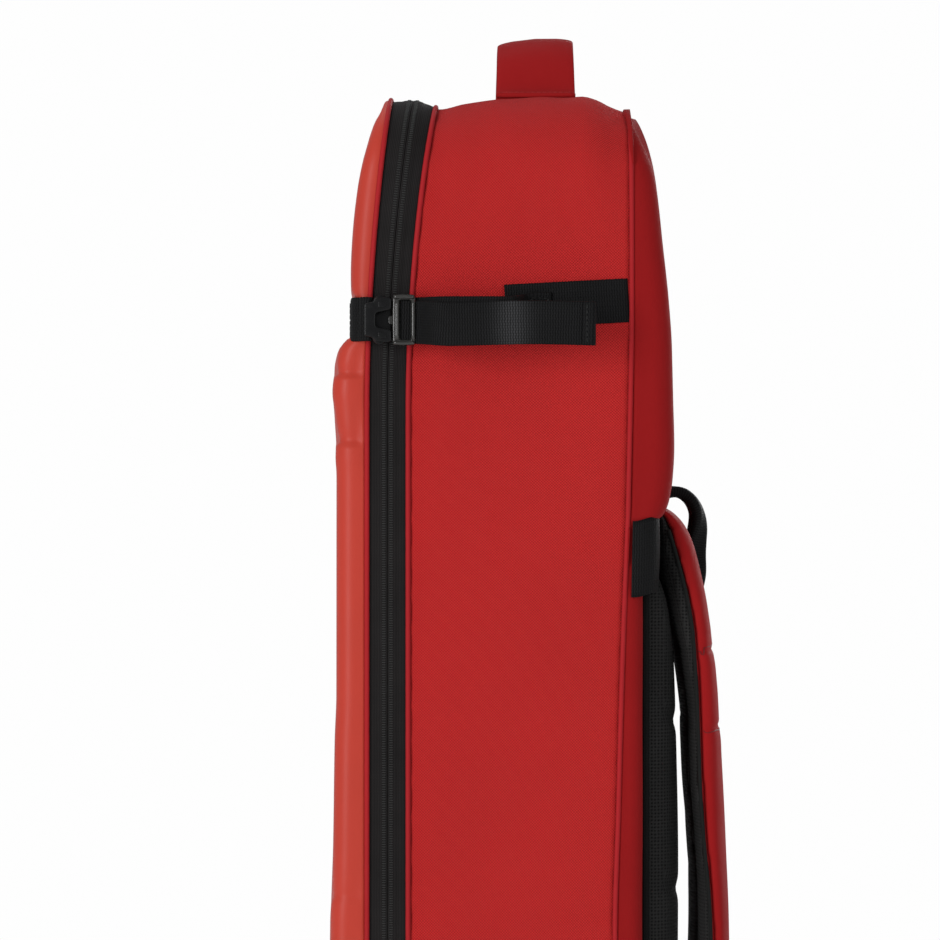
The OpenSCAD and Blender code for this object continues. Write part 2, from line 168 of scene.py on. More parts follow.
def add_object(name, data):
    obj = bpy.data.objects.new(name, data)
    bpy.context.scene.collection.objects.link(obj)
    return obj


def coords_of(obj, what="co"):
    values = np.zeros(len(obj.data.vertices) * 3)
    obj.data.vertices.foreach_get(what, values)
    return values.reshape(-1, 3)


def set_coords(obj, co):
    obj.data.vertices.foreach_set("co", np.asarray(co, float).ravel())
    obj.data.update()


def make_mesh(name, verts, faces, uvs=None):
    mesh = bpy.data.meshes.new(name)
    mesh.from_pydata(np.asarray(verts, float).tolist(), [], faces)
    if uvs is not None:
        layer = mesh.uv_layers.new(name="UVMap")
        corner = np.zeros(len(mesh.loops), int)
        mesh.loops.foreach_get("vertex_index", corner)
        layer.data.foreach_set("uv", np.asarray(uvs, float)[corner].ravel())
    mesh.polygons.foreach_set("use_smooth", [True] * len(mesh.polygons))
    return add_object(name, mesh)


def grid_faces(rows, cols, start=0, wrap=False, flip=False):
    """Quads of a grid of points; wrap closes each row on itself."""
    faces = []
    for i in range(rows - 1):
        for j in range(cols if wrap else cols - 1):
            near, far, j2 = start + i * cols, start + (i + 1) * cols, (j + 1) % cols
            quad = [near + j, near + j2, far + j2, far + j]
            faces.append(quad[::-1] if flip else quad)
    return faces


def close_up(obj, merge=0.0):
    """Merges doubled points and turns every face outwards."""
    bm = bmesh.new()
    bm.from_mesh(obj.data)
    if merge:
        bmesh.ops.remove_doubles(bm, verts=bm.verts, dist=merge)
        bmesh.ops.dissolve_degenerate(bm, edges=bm.edges, dist=merge / 10)
    bmesh.ops.recalc_face_normals(bm, faces=bm.faces)
    bm.to_mesh(obj.data)
    bm.free()
    return obj


def shell(name, outer, inner, uv=None, wrap=False, merge=0.0, rims=(0, -1)):
    """Closed skin between two grids of points of the same size. wrap closes each row on itself, and
    rims names the end rows that get a rim."""
    rows, cols = outer.shape[:2]
    count = rows * cols
    faces = grid_faces(rows, cols, wrap=wrap)
    faces += grid_faces(rows, cols, start=count, wrap=wrap, flip=True)
    rim = [[(i % rows) * cols + j for j in range(cols)] for i in rims]
    for row in rim:
        for a, b in zip(row, row[1:] + row[:1] if wrap else row[1:]):
            faces.append([a, b, b + count, a + count])
    if not wrap:
        for j in (0, cols - 1):
            for i in range(rows - 1):
                a, b = i * cols + j, (i + 1) * cols + j
                faces.append([a, b, b + count, a + count])
    verts = np.vstack([outer.reshape(-1, 3), inner.reshape(-1, 3)])
    uvs = None if uv is None else np.vstack([uv.reshape(-1, 2)] * 2)
    return close_up(make_mesh(name, verts, faces, uvs), merge)


def normals_of(grid, wrap=False):
    """Unit normals of a grid of points from its central differences."""
    if wrap:
        padded = np.concatenate([grid[:, -1:], grid, grid[:, :1]], axis=1)
        along = (padded[:, 2:] - padded[:, :-2]) / 2
    else:
        along = np.gradient(grid, axis=1)
    across = np.gradient(grid, axis=0)
    n = np.cross(across, along)
    return n / np.maximum(np.linalg.norm(n, axis=2, keepdims=True), 1e-12)


def sweep(name, path, across, section, merge=0.0):
    """Solid of a flat or round section along a path. across is the direction of the section's width,
    one vector or one for each point; section holds (width, height) pairs, one list or one for
    each point."""
    path = np.asarray(path, float)
    tangent = unit(np.gradient(path, axis=0))
    across = np.broadcast_to(np.asarray(across, float), path.shape)
    across = unit(across - tangent * np.sum(across * tangent, axis=1, keepdims=True))
    up = np.cross(tangent, across)
    section = np.asarray(section, float)
    if section.ndim == 2:
        section = np.broadcast_to(section, (len(path),) + section.shape)
    grid = (path[:, None] + section[..., :1] * across[:, None] + section[..., 1:] * up[:, None])
    rows, cols = grid.shape[:2]
    faces = grid_faces(rows, cols, wrap=True)
    faces += [list(range(cols)), [(rows - 1) * cols + j for j in range(cols)]]
    uv = np.zeros((rows, cols, 2))
    uv[..., 0] = arc_length(path)[:, None]
    uv[..., 1] = section[..., 0]
    return close_up(make_mesh(name, grid.reshape(-1, 3), faces, uv.reshape(-1, 2)), merge)


def ring(radius, sides=10):
    a = np.linspace(0, 2 * math.pi, sides, endpoint=False)
    return np.stack([radius * np.cos(a), radius * np.sin(a)], axis=1)


def band_section(width, thickness, middle=9, edge=5, swell=0.0):
    """Flat band with round edges: its faces can swell in the middle."""
    t = thickness / 2
    w = np.linspace(-1, 1, middle) * (width / 2 - t)
    lift = t + swell * (1 - (w / (width / 2)) ** 2)
    turn = np.linspace(90, -90, edge + 2)[1:-1] * math.pi / 180
    right = np.stack([width / 2 - t + t * np.cos(turn), t * np.sin(turn)], axis=1)
    top = np.stack([w, lift], axis=1)
    return np.vstack([top, right, -top, -right])


def pad_section(width, thickness, sides=32, power=2.6):
    """Closed crowned section that narrows to a seam at each edge."""
    a = np.linspace(0, 2 * math.pi, sides, endpoint=False)
    c, s = np.cos(a), np.sin(a)
    return np.stack([width / 2 * np.sign(c) * np.abs(c) ** (2 / power),
                     thickness / 2 * np.sign(s) * np.abs(s) ** (2 / power)], axis=1)


def blocks(name, centres, u, v, w, size):
    """Many small rounded blocks in one mesh: u is each block's long axis, w its outward one."""
    ends = [(-1, 0.55), (-0.7, 1), (0.7, 1), (1, 0.55)]
    turn = np.linspace(0, 2 * math.pi, 6, endpoint=False)
    template = np.array([[e, s * math.cos(a), s * math.sin(a)] for e, s in ends for a in turn])
    faces = [[i * 6 + j, i * 6 + (j + 1) % 6, (i + 1) * 6 + (j + 1) % 6, (i + 1) * 6 + j]
             for i in range(3) for j in range(6)]
    faces += [[5, 4, 3, 2, 1, 0], [18, 19, 20, 21, 22, 23]]
    n = len(centres)
    axes = np.stack([u * size[0] / 2, v * size[1] / 2, w * size[2] / 2], axis=1)
    verts = centres[:, None] + np.einsum("tk,nkc->ntc", template, axes)
    count = len(template)
    all_faces = [[q + k * count for q in f] for k in range(n) for f in faces]
    return close_up(make_mesh(name, verts.reshape(-1, 3), all_faces))


def join(name, objs):
    """Several objects as one mesh with that name."""
    bm = bmesh.new()
    for o in objs:
        part = o.data.copy()
        part.transform(o.matrix_world)
        bm.from_mesh(part)
    mesh = bpy.data.meshes.new(name)
    bm.to_mesh(mesh)
    bm.free()
    for o in objs:
        bpy.data.objects.remove(o)
    return add_object(name, mesh)


def mirrored(obj, name):
    """Copy of a piece on the other side of the bag, across Y = 0."""
    twin = add_object(name, obj.data.copy())
    set_coords(twin, coords_of(twin) * (1, -1, 1))
    twin.data.flip_normals()
    return twin


def evaluated_mesh(obj):
    """New smooth-shaded mesh of an object with its modifiers, or of a curve."""
    mesh = bpy.data.meshes.new_from_object(obj.evaluated_get(bpy.context.evaluated_depsgraph_get()))
    mesh.polygons.foreach_set("use_smooth", [True] * len(mesh.polygons))
    return mesh


def plate(name, outer, holes, thickness, bevel, to_world):
    """Flat moulded plate with holes and bevelled edges. Outlines are 2D points in metres, and
    to_world is (origin, axis of the outline's x, axis of its y)."""
    data = bpy.data.curves.new(name, "CURVE")
    data.dimensions = "2D"
    data.fill_mode = "BOTH"
    data.extrude = thickness / 2 - bevel
    data.bevel_depth = bevel
    data.bevel_resolution = 3
    data.offset = -bevel
    for outline in [outer] + list(holes):
        line = data.splines.new("POLY")
        line.points.add(len(outline) - 1)
        for point, (a, b) in zip(line.points, outline):
            point.co = (a, b, 0, 1)
        line.use_cyclic_u = True
    outline_object = add_object(name, data)
    bpy.context.view_layer.update()
    mesh = evaluated_mesh(outline_object)
    bpy.data.objects.remove(outline_object)
    obj = add_object(name, mesh)
    origin, right, up = (np.array(v, float) for v in to_world)
    co = coords_of(obj)
    set_coords(obj, origin + co[:, :1] * right + co[:, 1:2] * up + co[:, 2:] * np.cross(right, up))
    return close_up(obj, 1e-6)


def rounded(x1, x2, y1, y2, r, steps=5):
    """Outline of a rectangle with round corners, counter-clockwise."""
    corners = [(x2 - r, y1 + r, -90), (x2 - r, y2 - r, 0),
               (x1 + r, y2 - r, 90), (x1 + r, y1 + r, 180)]
    points = []
    for cx, cy, start in corners:
        for k in range(steps + 1):
            a = math.radians(start + 90 * k / steps)
            points.append((cx + r * math.cos(a), cy + r * math.sin(a)))
    return points


def round_corners(points, radius):
    """Outline with each corner of a given polygon rounded."""
    result = []
    p = [np.array(q, float) for q in points]
    for a, b, c in zip([p[-1]] + p[:-1], p, p[1:] + [p[0]]):
        reach = min(radius, np.linalg.norm(a - b) / 2.2, np.linalg.norm(c - b) / 2.2)
        start = b + unit(a - b) * reach
        end = b + unit(c - b) * reach
        for t in np.linspace(0, 1, 5):
            result.append(tuple((1 - t) ** 2 * start + 2 * t * (1 - t) * b + t * t * end))
    return result


# ---- Materials ----

class Look:
    """One node material with its shader, and short calls for the nodes in it."""

    def __init__(self, name, rough, specular=0.5, sheen=0.0, coat=0.0):
        self.material = bpy.data.materials.new(name)
        self.material.use_nodes = True
        self.tree = self.material.node_tree
        self.shader = self.tree.nodes["Principled BSDF"]
        self.set("Roughness", rough)
        self.set("Specular IOR Level", specular)
        self.set("Sheen Weight", sheen)
        self.set("Sheen Roughness", 0.45)
        self.set("Coat Weight", coat)
        self.set("Coat Roughness", 0.25)

    def set(self, socket, value):
        self.shader.inputs[socket].default_value = value

    def node(self, kind, inputs=(), **settings):
        node = self.tree.nodes.new("ShaderNode" + kind)
        for key, value in settings.items():
            setattr(node, key, value)
        for key, value in dict(inputs).items():
            if isinstance(value, bpy.types.NodeSocket):
                self.tree.links.new(value, node.inputs[key])
            else:
                node.inputs[key].default_value = value
        return node

    def math(self, operation, a, b=0.0, c=0.0):
        return self.node("Math", {0: a, 1: b, 2: c}, operation=operation).outputs[0]

    def times(self, a, b):
        return self.math("MULTIPLY", a, b)

    def vary(self, value, gain, base):
        """value times gain, plus base."""
        return self.math("MULTIPLY_ADD", value, gain, base)

    def uv(self):
        return self.node("TexCoord").outputs["UV"]

    def place(self):
        return self.node("TexCoord").outputs["Object"]

    def faced(self):
        """Flat coordinates in metres, seen along the axis that the surface faces most."""
        coords = self.node("TexCoord")
        p = self.node("SeparateXYZ", {0: coords.outputs["Object"]}).outputs
        n = self.node("SeparateXYZ", {0: coords.outputs["Normal"]}).outputs
        nx, ny, nz = (self.math("ABSOLUTE", n[k]) for k in range(3))
        faces_x = self.math("GREATER_THAN", nx, self.math("MAXIMUM", ny, nz))
        faces_z = self.math("GREATER_THAN", nz, self.math("MAXIMUM", nx, ny))
        u = self.math("ADD", self.times(p[0], self.math("SUBTRACT", 1.0, faces_x)),
                      self.times(p[1], faces_x))
        v = self.math("ADD", self.times(p[2], self.math("SUBTRACT", 1.0, faces_z)),
                      self.times(p[1], faces_z))
        return self.node("CombineXYZ", {0: u, 1: v}).outputs[0]

    def weave(self, coords, pitch, turned=0.0):
        """Height of a plain weave of two threads, from 0 to 1."""
        turn = self.node("VectorRotate", {"Vector": coords, "Angle": turned}, rotation_type="Z_AXIS")
        scaled = self.node("VectorMath", {0: turn.outputs[0], 1: (math.pi / pitch,) * 3},
                           operation="MULTIPLY").outputs[0]
        p = self.node("SeparateXYZ", {0: scaled}).outputs
        su, sv = self.math("SINE", p[0]), self.math("SINE", p[1])
        over = self.math("GREATER_THAN", self.times(su, sv), 0.0)
        au, av = self.math("ABSOLUTE", su), self.math("ABSOLUTE", sv)
        warp = self.times(self.math("POWER", au, 0.6), self.vary(av, 0.5, 0.5))
        weft = self.times(self.math("POWER", av, 0.6), self.vary(au, 0.5, 0.5))
        return self.node("Mix", {"Factor": over, "A": weft, "B": warp}, data_type="FLOAT").outputs[0]

    def ribs(self, coords, pitch, rows):
        """Height of webbing: ribs across its width, broken by fine rows of yarn along it."""
        p = self.node("SeparateXYZ", {0: coords}).outputs
        drift = self.times(self.noise(130.0, 2.0), 1.6)
        yarn = self.math("SINE", self.times(p[1], math.pi / rows))
        shift = self.vary(yarn, 0.35, drift)
        rib = self.math("ABSOLUTE", self.math("SINE", self.vary(p[0], math.pi / pitch, shift)))
        row = self.math("ABSOLUTE", yarn)
        return self.times(self.math("POWER", rib, 0.7), self.vary(row, 0.3, 0.7))

    def noise(self, scale, detail=3.0, stretch=None):
        coords = self.place()
        if stretch:
            coords = self.node("VectorMath", {0: coords, 1: stretch}, operation="MULTIPLY").outputs[0]
        return self.node("TexNoise", {"Vector": coords, "Scale": scale, "Detail": detail}).outputs[0]

    def ramp(self, value, stops):
        node = self.node("ValToRGB", {0: value})
        ramp = node.color_ramp
        while len(ramp.elements) < len(stops):
            ramp.elements.new(0.5)
        for element, (place, colour) in zip(ramp.elements, stops):
            element.position = place
            element.color = (*colour, 1)
        return node.outputs[0]

    def scale_colour(self, colour, factor):
        return self.node("VectorMath", {0: colour, "Scale": factor}, operation="SCALE").outputs[0]

    def finish(self, colour, height=None, depth=0.0, rough=None):
        self.tree.links.new(colour, self.shader.inputs["Base Color"])
        if height is not None:
            bump = self.node("Bump", {"Height": height, "Distance": depth, "Strength": 1.0})
            self.tree.links.new(bump.outputs[0], self.shader.inputs["Normal"])
        if rough is not None:
            self.tree.links.new(rough, self.shader.inputs["Roughness"])
        return self.material


def tint(colour, factor):
    return tuple(min(1.0, c * factor) for c in colour)


def woven(name, colour, pitch, depth, rough=0.85, by_uv=False, turned=0.0, contrast=0.35,
          specular=0.12):
    """Woven fabric: threads in height, slubs, and broad uneven patches; the low parts of the weave are
    painted darker as painted shade and its high parts lighter as a painted highlight.
    """
    look = Look(name, rough, specular, sheen=0.02)
    coords = look.uv() if by_uv else look.faced()
    threads = look.weave(coords, pitch, turned)
    slubs = look.noise(900.0, 2.0)
    height = look.vary(slubs, 0.35, threads)
    # The ramp paints shade into the low parts of the weave and a highlight on its high parts.
    shade = look.ramp(threads, [(0.0, tint(colour, 1 - contrast)), (0.6, colour),
                                (1.0, tint(colour, 1 + contrast / 3))])
    patches = look.vary(look.noise(9.0, 3.0), 0.22, 0.89)
    return look.finish(look.scale_colour(shade, patches), height, depth,
                       look.vary(look.noise(60.0), 0.2, rough - 0.1))


def coated(name, colour):
    """Smooth coated fabric over foam: fine grain, small dents and a satin coat that wears duller."""
    look = Look(name, 0.42, 0.16, coat=0.02)
    grain = look.noise(2600.0, 2.0)
    dents = look.noise(120.0, 4.0)
    height = look.vary(dents, 1.6, grain)
    shade = look.ramp(look.noise(14.0, 4.0), [(0.25, tint(colour, 0.93)), (0.5, colour),
                                              (0.8, tint(colour, 1.06))])
    return look.finish(shade, height, 0.05 * MM, look.vary(look.noise(45.0, 4.0), 0.16, 0.34))


def ribbed(name, colour, pitch=1.5 * MM, rows=1.5 * MM, depth=0.3 * MM, rough=0.62, pale_patch=None):
    """Woven webbing. The last argument is the place along X, the width and the strength of a lighter patch.
    """
    look = Look(name, rough, 0.1, sheen=0.01)
    ribs = look.ribs(look.uv(), pitch, rows)
    fuzz = look.noise(1500.0, 2.0, stretch=(1, 1, 0.3))
    height = look.vary(fuzz, 0.5, ribs)
    # The ramp paints shade into the grooves between the ribs and a highlight on the ribs.
    shade = look.ramp(ribs, [(0.0, tint(colour, 0.25)), (0.6, colour), (1.0, tint(colour, 2.2))])
    tone = look.vary(look.noise(55.0, 4.0), 0.7, 0.65)
    # A lighter patch along X, added to the random tone.
    if pale_patch:
        x = look.node("SeparateXYZ", {0: look.place()}).outputs[0]
        away = look.math("DIVIDE", look.math("SUBTRACT", x, pale_patch[0]), pale_patch[1])
        patch = look.math("EXPONENT", look.times(look.times(away, away), -1.0))
        tone = look.math("ADD", tone, look.times(look.times(patch, tone), pale_patch[2]))
    return look.finish(look.scale_colour(shade, tone), height, depth)


def meshed(name, colour, cell):
    """Knitted spacer mesh: round holes in a knit, painted dark inside as painted shade, with a painted
    highlight on the knit.
    """
    look = Look(name, 0.8, 0.12, sheen=0.02)
    cells = look.node("TexVoronoi", {"Vector": look.faced(), "Scale": 1 / cell, "Randomness": 0.12})
    knit = look.math("MINIMUM", look.times(cells.outputs["Distance"], 2.2), 1.0)
    fuzz = look.noise(1800.0, 2.0)
    height = look.vary(fuzz, 0.25, knit)
    # The ramp paints shade into the holes and a highlight on the knit.
    shade = look.ramp(knit, [(0.25, tint(colour, 0.15)), (0.6, colour), (1.0, tint(colour, 1.6))])
    patches = look.vary(look.noise(20.0, 3.0), 0.6, 0.7)
    return look.finish(look.scale_colour(shade, patches), height, 0.5 * MM)


def moulded(name, colour, rough=0.26, depth=0.02 * MM, specular=0.2):
    """Moulded plastic: spark-eroded grain, faint flow marks and rubbed edges."""
    look = Look(name, rough, specular)
    grain = look.noise(3200.0, 2.0)
    edge = look.node("NewGeometry").outputs["Pointiness"]
    worn = look.ramp(edge, [(0.5, colour), (0.62, tint(colour, 2.2))])
    shade = look.scale_colour(worn, look.vary(look.noise(70.0, 4.0), 0.35, 0.82))
    return look.finish(shade, grain, depth, look.vary(look.noise(160.0, 4.0), 0.2, rough - 0.08))


def tarpaulin(name, colour):
    """Coated base fabric: a grid of yarns under a thick coat, scuffed."""
    look = Look(name, 0.5, 0.25, coat=0.03)
    threads = look.weave(look.faced(), 1.6 * MM)
    scuffs = look.ramp(look.noise(240.0, 6.0), [(0.52, (0, 0, 0)), (0.72, (1, 1, 1))])
    shades = {"Factor": scuffs, "A": (*colour, 1), "B": (*tint(colour, 2.6), 1)}
    shade = look.node("Mix", shades, data_type="RGBA").outputs["Result"]
    return look.finish(shade, threads, 0.12 * MM, look.vary(look.noise(90.0, 5.0), 0.25, 0.4))


def porous(name, colour, scale):
    """Cut foam or pressed board: fine pores, painted darker as painted shade, which mottles the tone."""
    look = Look(name, 0.9, 0.2)
    pores = look.noise(scale, 5.0)
    # The ramp paints shade into the pores.
    shade = look.ramp(pores, [(0.3, tint(colour, 0.7)), (0.6, colour)])
    return look.finish(shade, pores, 0.2 * MM)


def thread(name, colour):
    """Sewing thread: twisted yarn, with painted shade in the grooves of the twist and a painted highlight on
    its ridges.
    """
    look = Look(name, 0.5, 0.2, sheen=0.02)
    twist = look.node("TexWave", {"Vector": look.place(), "Scale": 900.0, "Distortion": 2.0}).outputs[1]
    # The ramp paints shade into the grooves of the twist and a highlight on its ridges.
    shade = look.ramp(twist, [(0.2, tint(colour, 0.7)), (0.8, tint(colour, 1.2))])
    return look.finish(shade, twist, 0.05 * MM)


RED_SHELL = (0.47, 0.019, 0.019)
RED_LID = (0.45, 0.041, 0.025)
RED_STRAP = (0.31, 0.009, 0.010)
RED_PIPING = (0.36, 0.012, 0.016)
BLACK_WEB = (0.0038, 0.0038, 0.0040)
BLACK_TAPE = (0.0085, 0.0075, 0.0075)
BLACK_MESH = (0.014, 0.014, 0.0137)
BLACK_PLASTIC = (0.0035, 0.0035, 0.0038)
GREY_LINING = (0.055, 0.058, 0.062)

STRAP_WEAVE = {"pitch": 0.6 * MM, "depth": 0.1 * MM, "contrast": 0.25, "specular": 0.06}

# One look for each material slot, and looks of single pieces
LOOKS = {
    "shell_fabric": woven("shell_fabric", RED_SHELL, 1.15 * MM, 0.35 * MM, by_uv=True,
                          turned=math.radians(45), contrast=0.62),
    "lid_coating": coated("lid_coating", RED_LID),
    "piping": woven("piping", RED_PIPING, 0.5 * MM, 0.05 * MM, rough=0.6, contrast=0.2),
    "foam": porous("foam", (0.45, 0.45, 0.42), 900.0),
    "board": porous("board", (0.13, 0.13, 0.135), 1500.0),
    "base_coating": tarpaulin("base_coating", (0.018, 0.018, 0.02)),
    "zip_tape": ribbed("zip_tape", BLACK_TAPE, 0.9 * MM, 0.8 * MM, 0.1 * MM, rough=0.7),
    "zip_coil": thread("zip_coil", (0.030, 0.031, 0.030)),
    "webbing": ribbed("webbing", BLACK_WEB),
    "spacer_mesh": meshed("spacer_mesh", BLACK_MESH, 2.0 * MM),
    "strap_fabric": woven("strap_fabric", RED_STRAP, rough=0.65, **STRAP_WEAVE),
    "buckle_plastic": moulded("buckle_plastic", BLACK_PLASTIC),
    "zip_metal": moulded("zip_metal", (0.02, 0.02, 0.022), 0.3),
}
LINING = woven("lining", GREY_LINING, 0.5 * MM, 0.05 * MM, rough=0.8)
BINDING = ribbed("binding", BLACK_WEB, 0.9 * MM, 1.1 * MM, 0.12 * MM)
# A paler, shinier copy of the buckle plastic, used for the plug.
PALE_PLASTIC = moulded("rubbed_plastic", (0.015, 0.0145, 0.013), 0.2, 0.01 * MM, 0.6)
# The back cover's fabric: the strap fabric at 0.88 of its brightness, as painted shade on the back.
BACK_SHADED_FABRIC = woven("back_fabric", tint(RED_STRAP, 0.88), rough=0.7, **STRAP_WEAVE)
# Webbing with a lighter patch along X, for the strap's free end.
PALE_PATCH_WEB = ribbed("rubbed_webbing", BLACK_WEB, pale_patch=(13.5 * MM, 9 * MM, 4.0))
RED_THREAD = thread("red_thread", (0.40, 0.020, 0.022))
# Darker red thread for the strap's cross seams; its dark colour is partly painted shade in the creases.
CREASE_SHADE_THREAD = thread("dark_thread", (0.15, 0.006, 0.007))
BLACK_THREAD = thread("black_thread", (0.018, 0.018, 0.018))
POCKET_MESH = meshed("pocket_mesh", (0.02, 0.02, 0.022), 3.4 * MM)
EDGE_BLACK = woven("edge_binding", (0.009, 0.0095, 0.009), 0.7 * MM, 0.1 * MM, rough=0.7)


def dress(obj, slot, body=None, look=None, replaces=(), across=None):
    """Gives a piece its material, the slot's look unless another is given, attaches it to its body and hides
    the CAD nodes that it replaces.
    across marks a piece over a joint, (body_a, body_b, start, end): such a piece keeps its place with its
    transform baked in and is not attached to a body; the values in across are not used."""
    obj.data.materials.clear()
    obj.data.materials.append(look or LOOKS[slot])
    if replaces:
        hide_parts(*replaces)
    if across:
        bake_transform(obj)
    else:
        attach(obj, body)
    return obj


SLOT_OF = {part["node"]: part["material_slot"] for part in frame["record"]["subparts"]}
for node in frame["nodes"].values():
    if not node.material_slots:
        node.data.materials.append(None)
    for holder in node.material_slots:
        holder.material = LOOKS[SLOT_OF[node.name]]


# ---- The skin's shape, shared by every piece that lies on it ----

def lean(z):
    """How far the front edge leans back at a height."""
    return LEAN_TOP * (np.maximum(0, np.asarray(z, float) - LEAN_START) / (TOP_Z - LEAN_START)) ** 2


# Share of the front edge's lean that the lid's seam follows
LID_LEAN = 0.83
# How far the rear seam drifts back with height, in mm
REAR_DRIFT = [(30, 0), (200, -2.5), (430, -4.6), (507, -4.8), (570, -3), (638, -1.2), (683, 0.2),
              (751, 2.8), (880, 4.8), (962, 4.4), (980, 3.6)]


def place_x(depth, z):
    """Real depth at a height of a line that is depth at the foot."""
    share = np.interp(depth, [LID_SEAM, FRONT_SEAM, REAR_SEAM], [LID_LEAN, 1, 0])
    drift = np.interp(depth, [FRONT_SEAM + 30 * MM, REAR_SEAM], [0, 1])
    return depth + lean(z) * share + curve(z, REAR_DRIFT) * drift


# Height of the skin over the plain outline against depth, in mm, on the top and on the sides
CROWN_TOP = [(-90, 0), (-70, 2.0), (-57, 2.4), (-46.4, -0.6), (-44, -2.6), (-28, 0.6), (0, 3.6),
             (25, 4.9), (47, 4.9), (58, 2.5), (66, -0.9), (76, -4.4), (90, -7.4)]
CROWN_SIDE = [(-90, -1.5), (-70, -1.0), (-57, 0), (-46, -0.5), (-44, -1.2), (-25, 0), (45, 0),
              (60, -0.5), (76, -2.0), (90, -4)]


def crown(depth, z):
    top = smoothstep(905 * MM, 970 * MM, z)
    return curve(depth, CROWN_TOP) * top + curve(depth, CROWN_SIDE) * (1 - top)


SIDE_ROWS, CORNER_ROWS, TOP_ROWS = 150, 16, 25
INNER_HALF = HALF_W - CORNER_R


def arch(bottom):
    """The bag's outline from the near foot over the top to the far foot: y, z, outward y, outward z."""
    turn = np.linspace(0, math.pi / 2, CORNER_ROWS + 1)[1:]
    c, s = np.cos(turn), np.sin(turn)
    run = np.linspace(bottom, CORNER_Z, SIDE_ROWS)
    flat = np.linspace(-1, 1, TOP_ROWS + 1)[1:] * INNER_HALF
    side, top, far = np.ones(SIDE_ROWS), np.ones(TOP_ROWS), np.ones(SIDE_ROWS - 1)
    y = np.concatenate([-HALF_W * side, -INNER_HALF - CORNER_R * c, flat, INNER_HALF + CORNER_R * s,
                        HALF_W * far])
    z = np.concatenate([run, CORNER_Z + CORNER_R * s, TOP_Z * top, CORNER_Z + CORNER_R * c,
                        run[::-1][1:]])
    return y, z, np.concatenate([-side, -c, 0 * top, s, far]), np.concatenate([0 * side, s, top, c, 0 * far])


def skin_line(depth, lift, bottom, outline=None):
    """Points of the skin at one depth over the whole arch, with lift above it."""
    y, z, ny, nz = arch(bottom) if outline is None else outline
    up = crown(np.full_like(z, depth), z) + lift
    return np.stack([place_x(depth, z), y + ny * up, z + nz * up], axis=1)


def skin_grid(depths, lifts, bottom):
    """Grid of the skin: one row for each depth. lifts holds one height, or a row of them, for each."""
    return np.stack([skin_line(d, l, bottom) for d, l in zip(depths, lifts)])


def arc_uv(grid, depths):
    uv = np.zeros(grid.shape[:2] + (2,))
    uv[..., 0] = np.asarray(depths)[:, None]
    uv[..., 1] = arc_length(grid[len(grid) // 2])[None]
    return uv


ARCH = arch(BASE_Z)
ARCH_S = np.concatenate([[0], np.cumsum(np.hypot(np.diff(ARCH[0]), np.diff(ARCH[1])))])


# ---- Body ----

FABRIC_T = 1.2 * MM
FOAM_T = 5.2 * MM
LINING_T = 0.4 * MM
LINING_FOOT = BASE_Z + 3.5 * MM


def build_gusset():
    """Sides and top: one run of fabric over foam, crowned, with pucker at the seams."""
    depths = np.linspace(FRONT_SEAM, REAR_SEAM, 41)
    from_seam = np.minimum(depths - FRONT_SEAM, REAR_SEAM - depths)
    lifts = []
    for d, near in zip(depths, from_seam):
        pucker = 0.35 * MM * np.sin(ARCH_S * 2 * math.pi / (23 * MM) + 3 * np.sin(ARCH_S * 9))
        soft = -0.55 * MM * (1 + ripple(ARCH_S * 0.6, np.full_like(ARCH_S, d) * 1.4, 0.8))
        shoulder = smoothstep(CORNER_Z - 70 * MM, CORNER_Z, ARCH[1])
        soft = soft + 0.9 * MM * shoulder * ripple(ARCH_S * 1.5, np.full_like(ARCH_S, d) * 3.4, 2.2)
        lifts.append(soft * min(1, near / (12 * MM)) + pucker * math.exp(-near / (6 * MM)) - 0.3 * MM)
    outer = skin_grid(depths, lifts, BASE_Z)
    inner = skin_grid(depths, [np.asarray(l) - FABRIC_T for l in lifts], BASE_Z)
    gusset = shell("body_gusset", outer, inner, arc_uv(outer, depths))
    dress(gusset, "shell_fabric", "bag_body",
          replaces=("near_side_panel", "far_side_panel", "top_panel"))


def build_lining():
    """Lining over the foam of the sides and top, and over the back, with a bound front edge."""
    inset = FOAM_T + FABRIC_T * 0.1
    depths = np.linspace(FRONT_SEAM + 0.4 * MM, BACK_EDGE - 1.0 * MM, 20)
    waves = [0.35 * MM * ripple(ARCH_S, np.full_like(ARCH_S, d), 2.2) for d in depths]
    outer = skin_grid(depths, [-inset + w for w in waves], LINING_FOOT)
    inner = skin_grid(depths, [-inset - LINING_T + w for w in waves], LINING_FOOT)
    dress(shell("side_lining", outer, inner), "foam", "bag_body", LINING)
    y, z, ny, nz = arch(LINING_FOOT)
    rows = []
    for t in np.linspace(1, 0, 9):
        rows.append(np.stack([np.full_like(z, BACK_EDGE - 1.2 * MM) - 0.3 * MM * (1 + ripple(y * t, z, 1.1)),
                              (y - ny * inset) * t, np.minimum(z - nz * inset, TOP_Z - 6 * MM)], axis=1))
    back = np.stack(rows)
    front = back - np.array([LINING_T, 0, 0])
    dress(shell("back_lining", front, back, merge=1e-5, rims=(0,)), "foam", "bag_body", LINING)
    edge = [FRONT_SEAM - 0.5 * MM] * 2
    lifts = [-0.9 * MM, -inset - 1.0 * MM]
    outer = skin_grid(edge, lifts, BASE_Z)
    inner = skin_grid([e + 1.2 * MM for e in edge], lifts, BASE_Z)
    dress(shell("opening_binding", outer, inner, arc_uv(outer, lifts)), "webbing", "bag_body", BINDING)


PIPING_R = 1.45 * MM


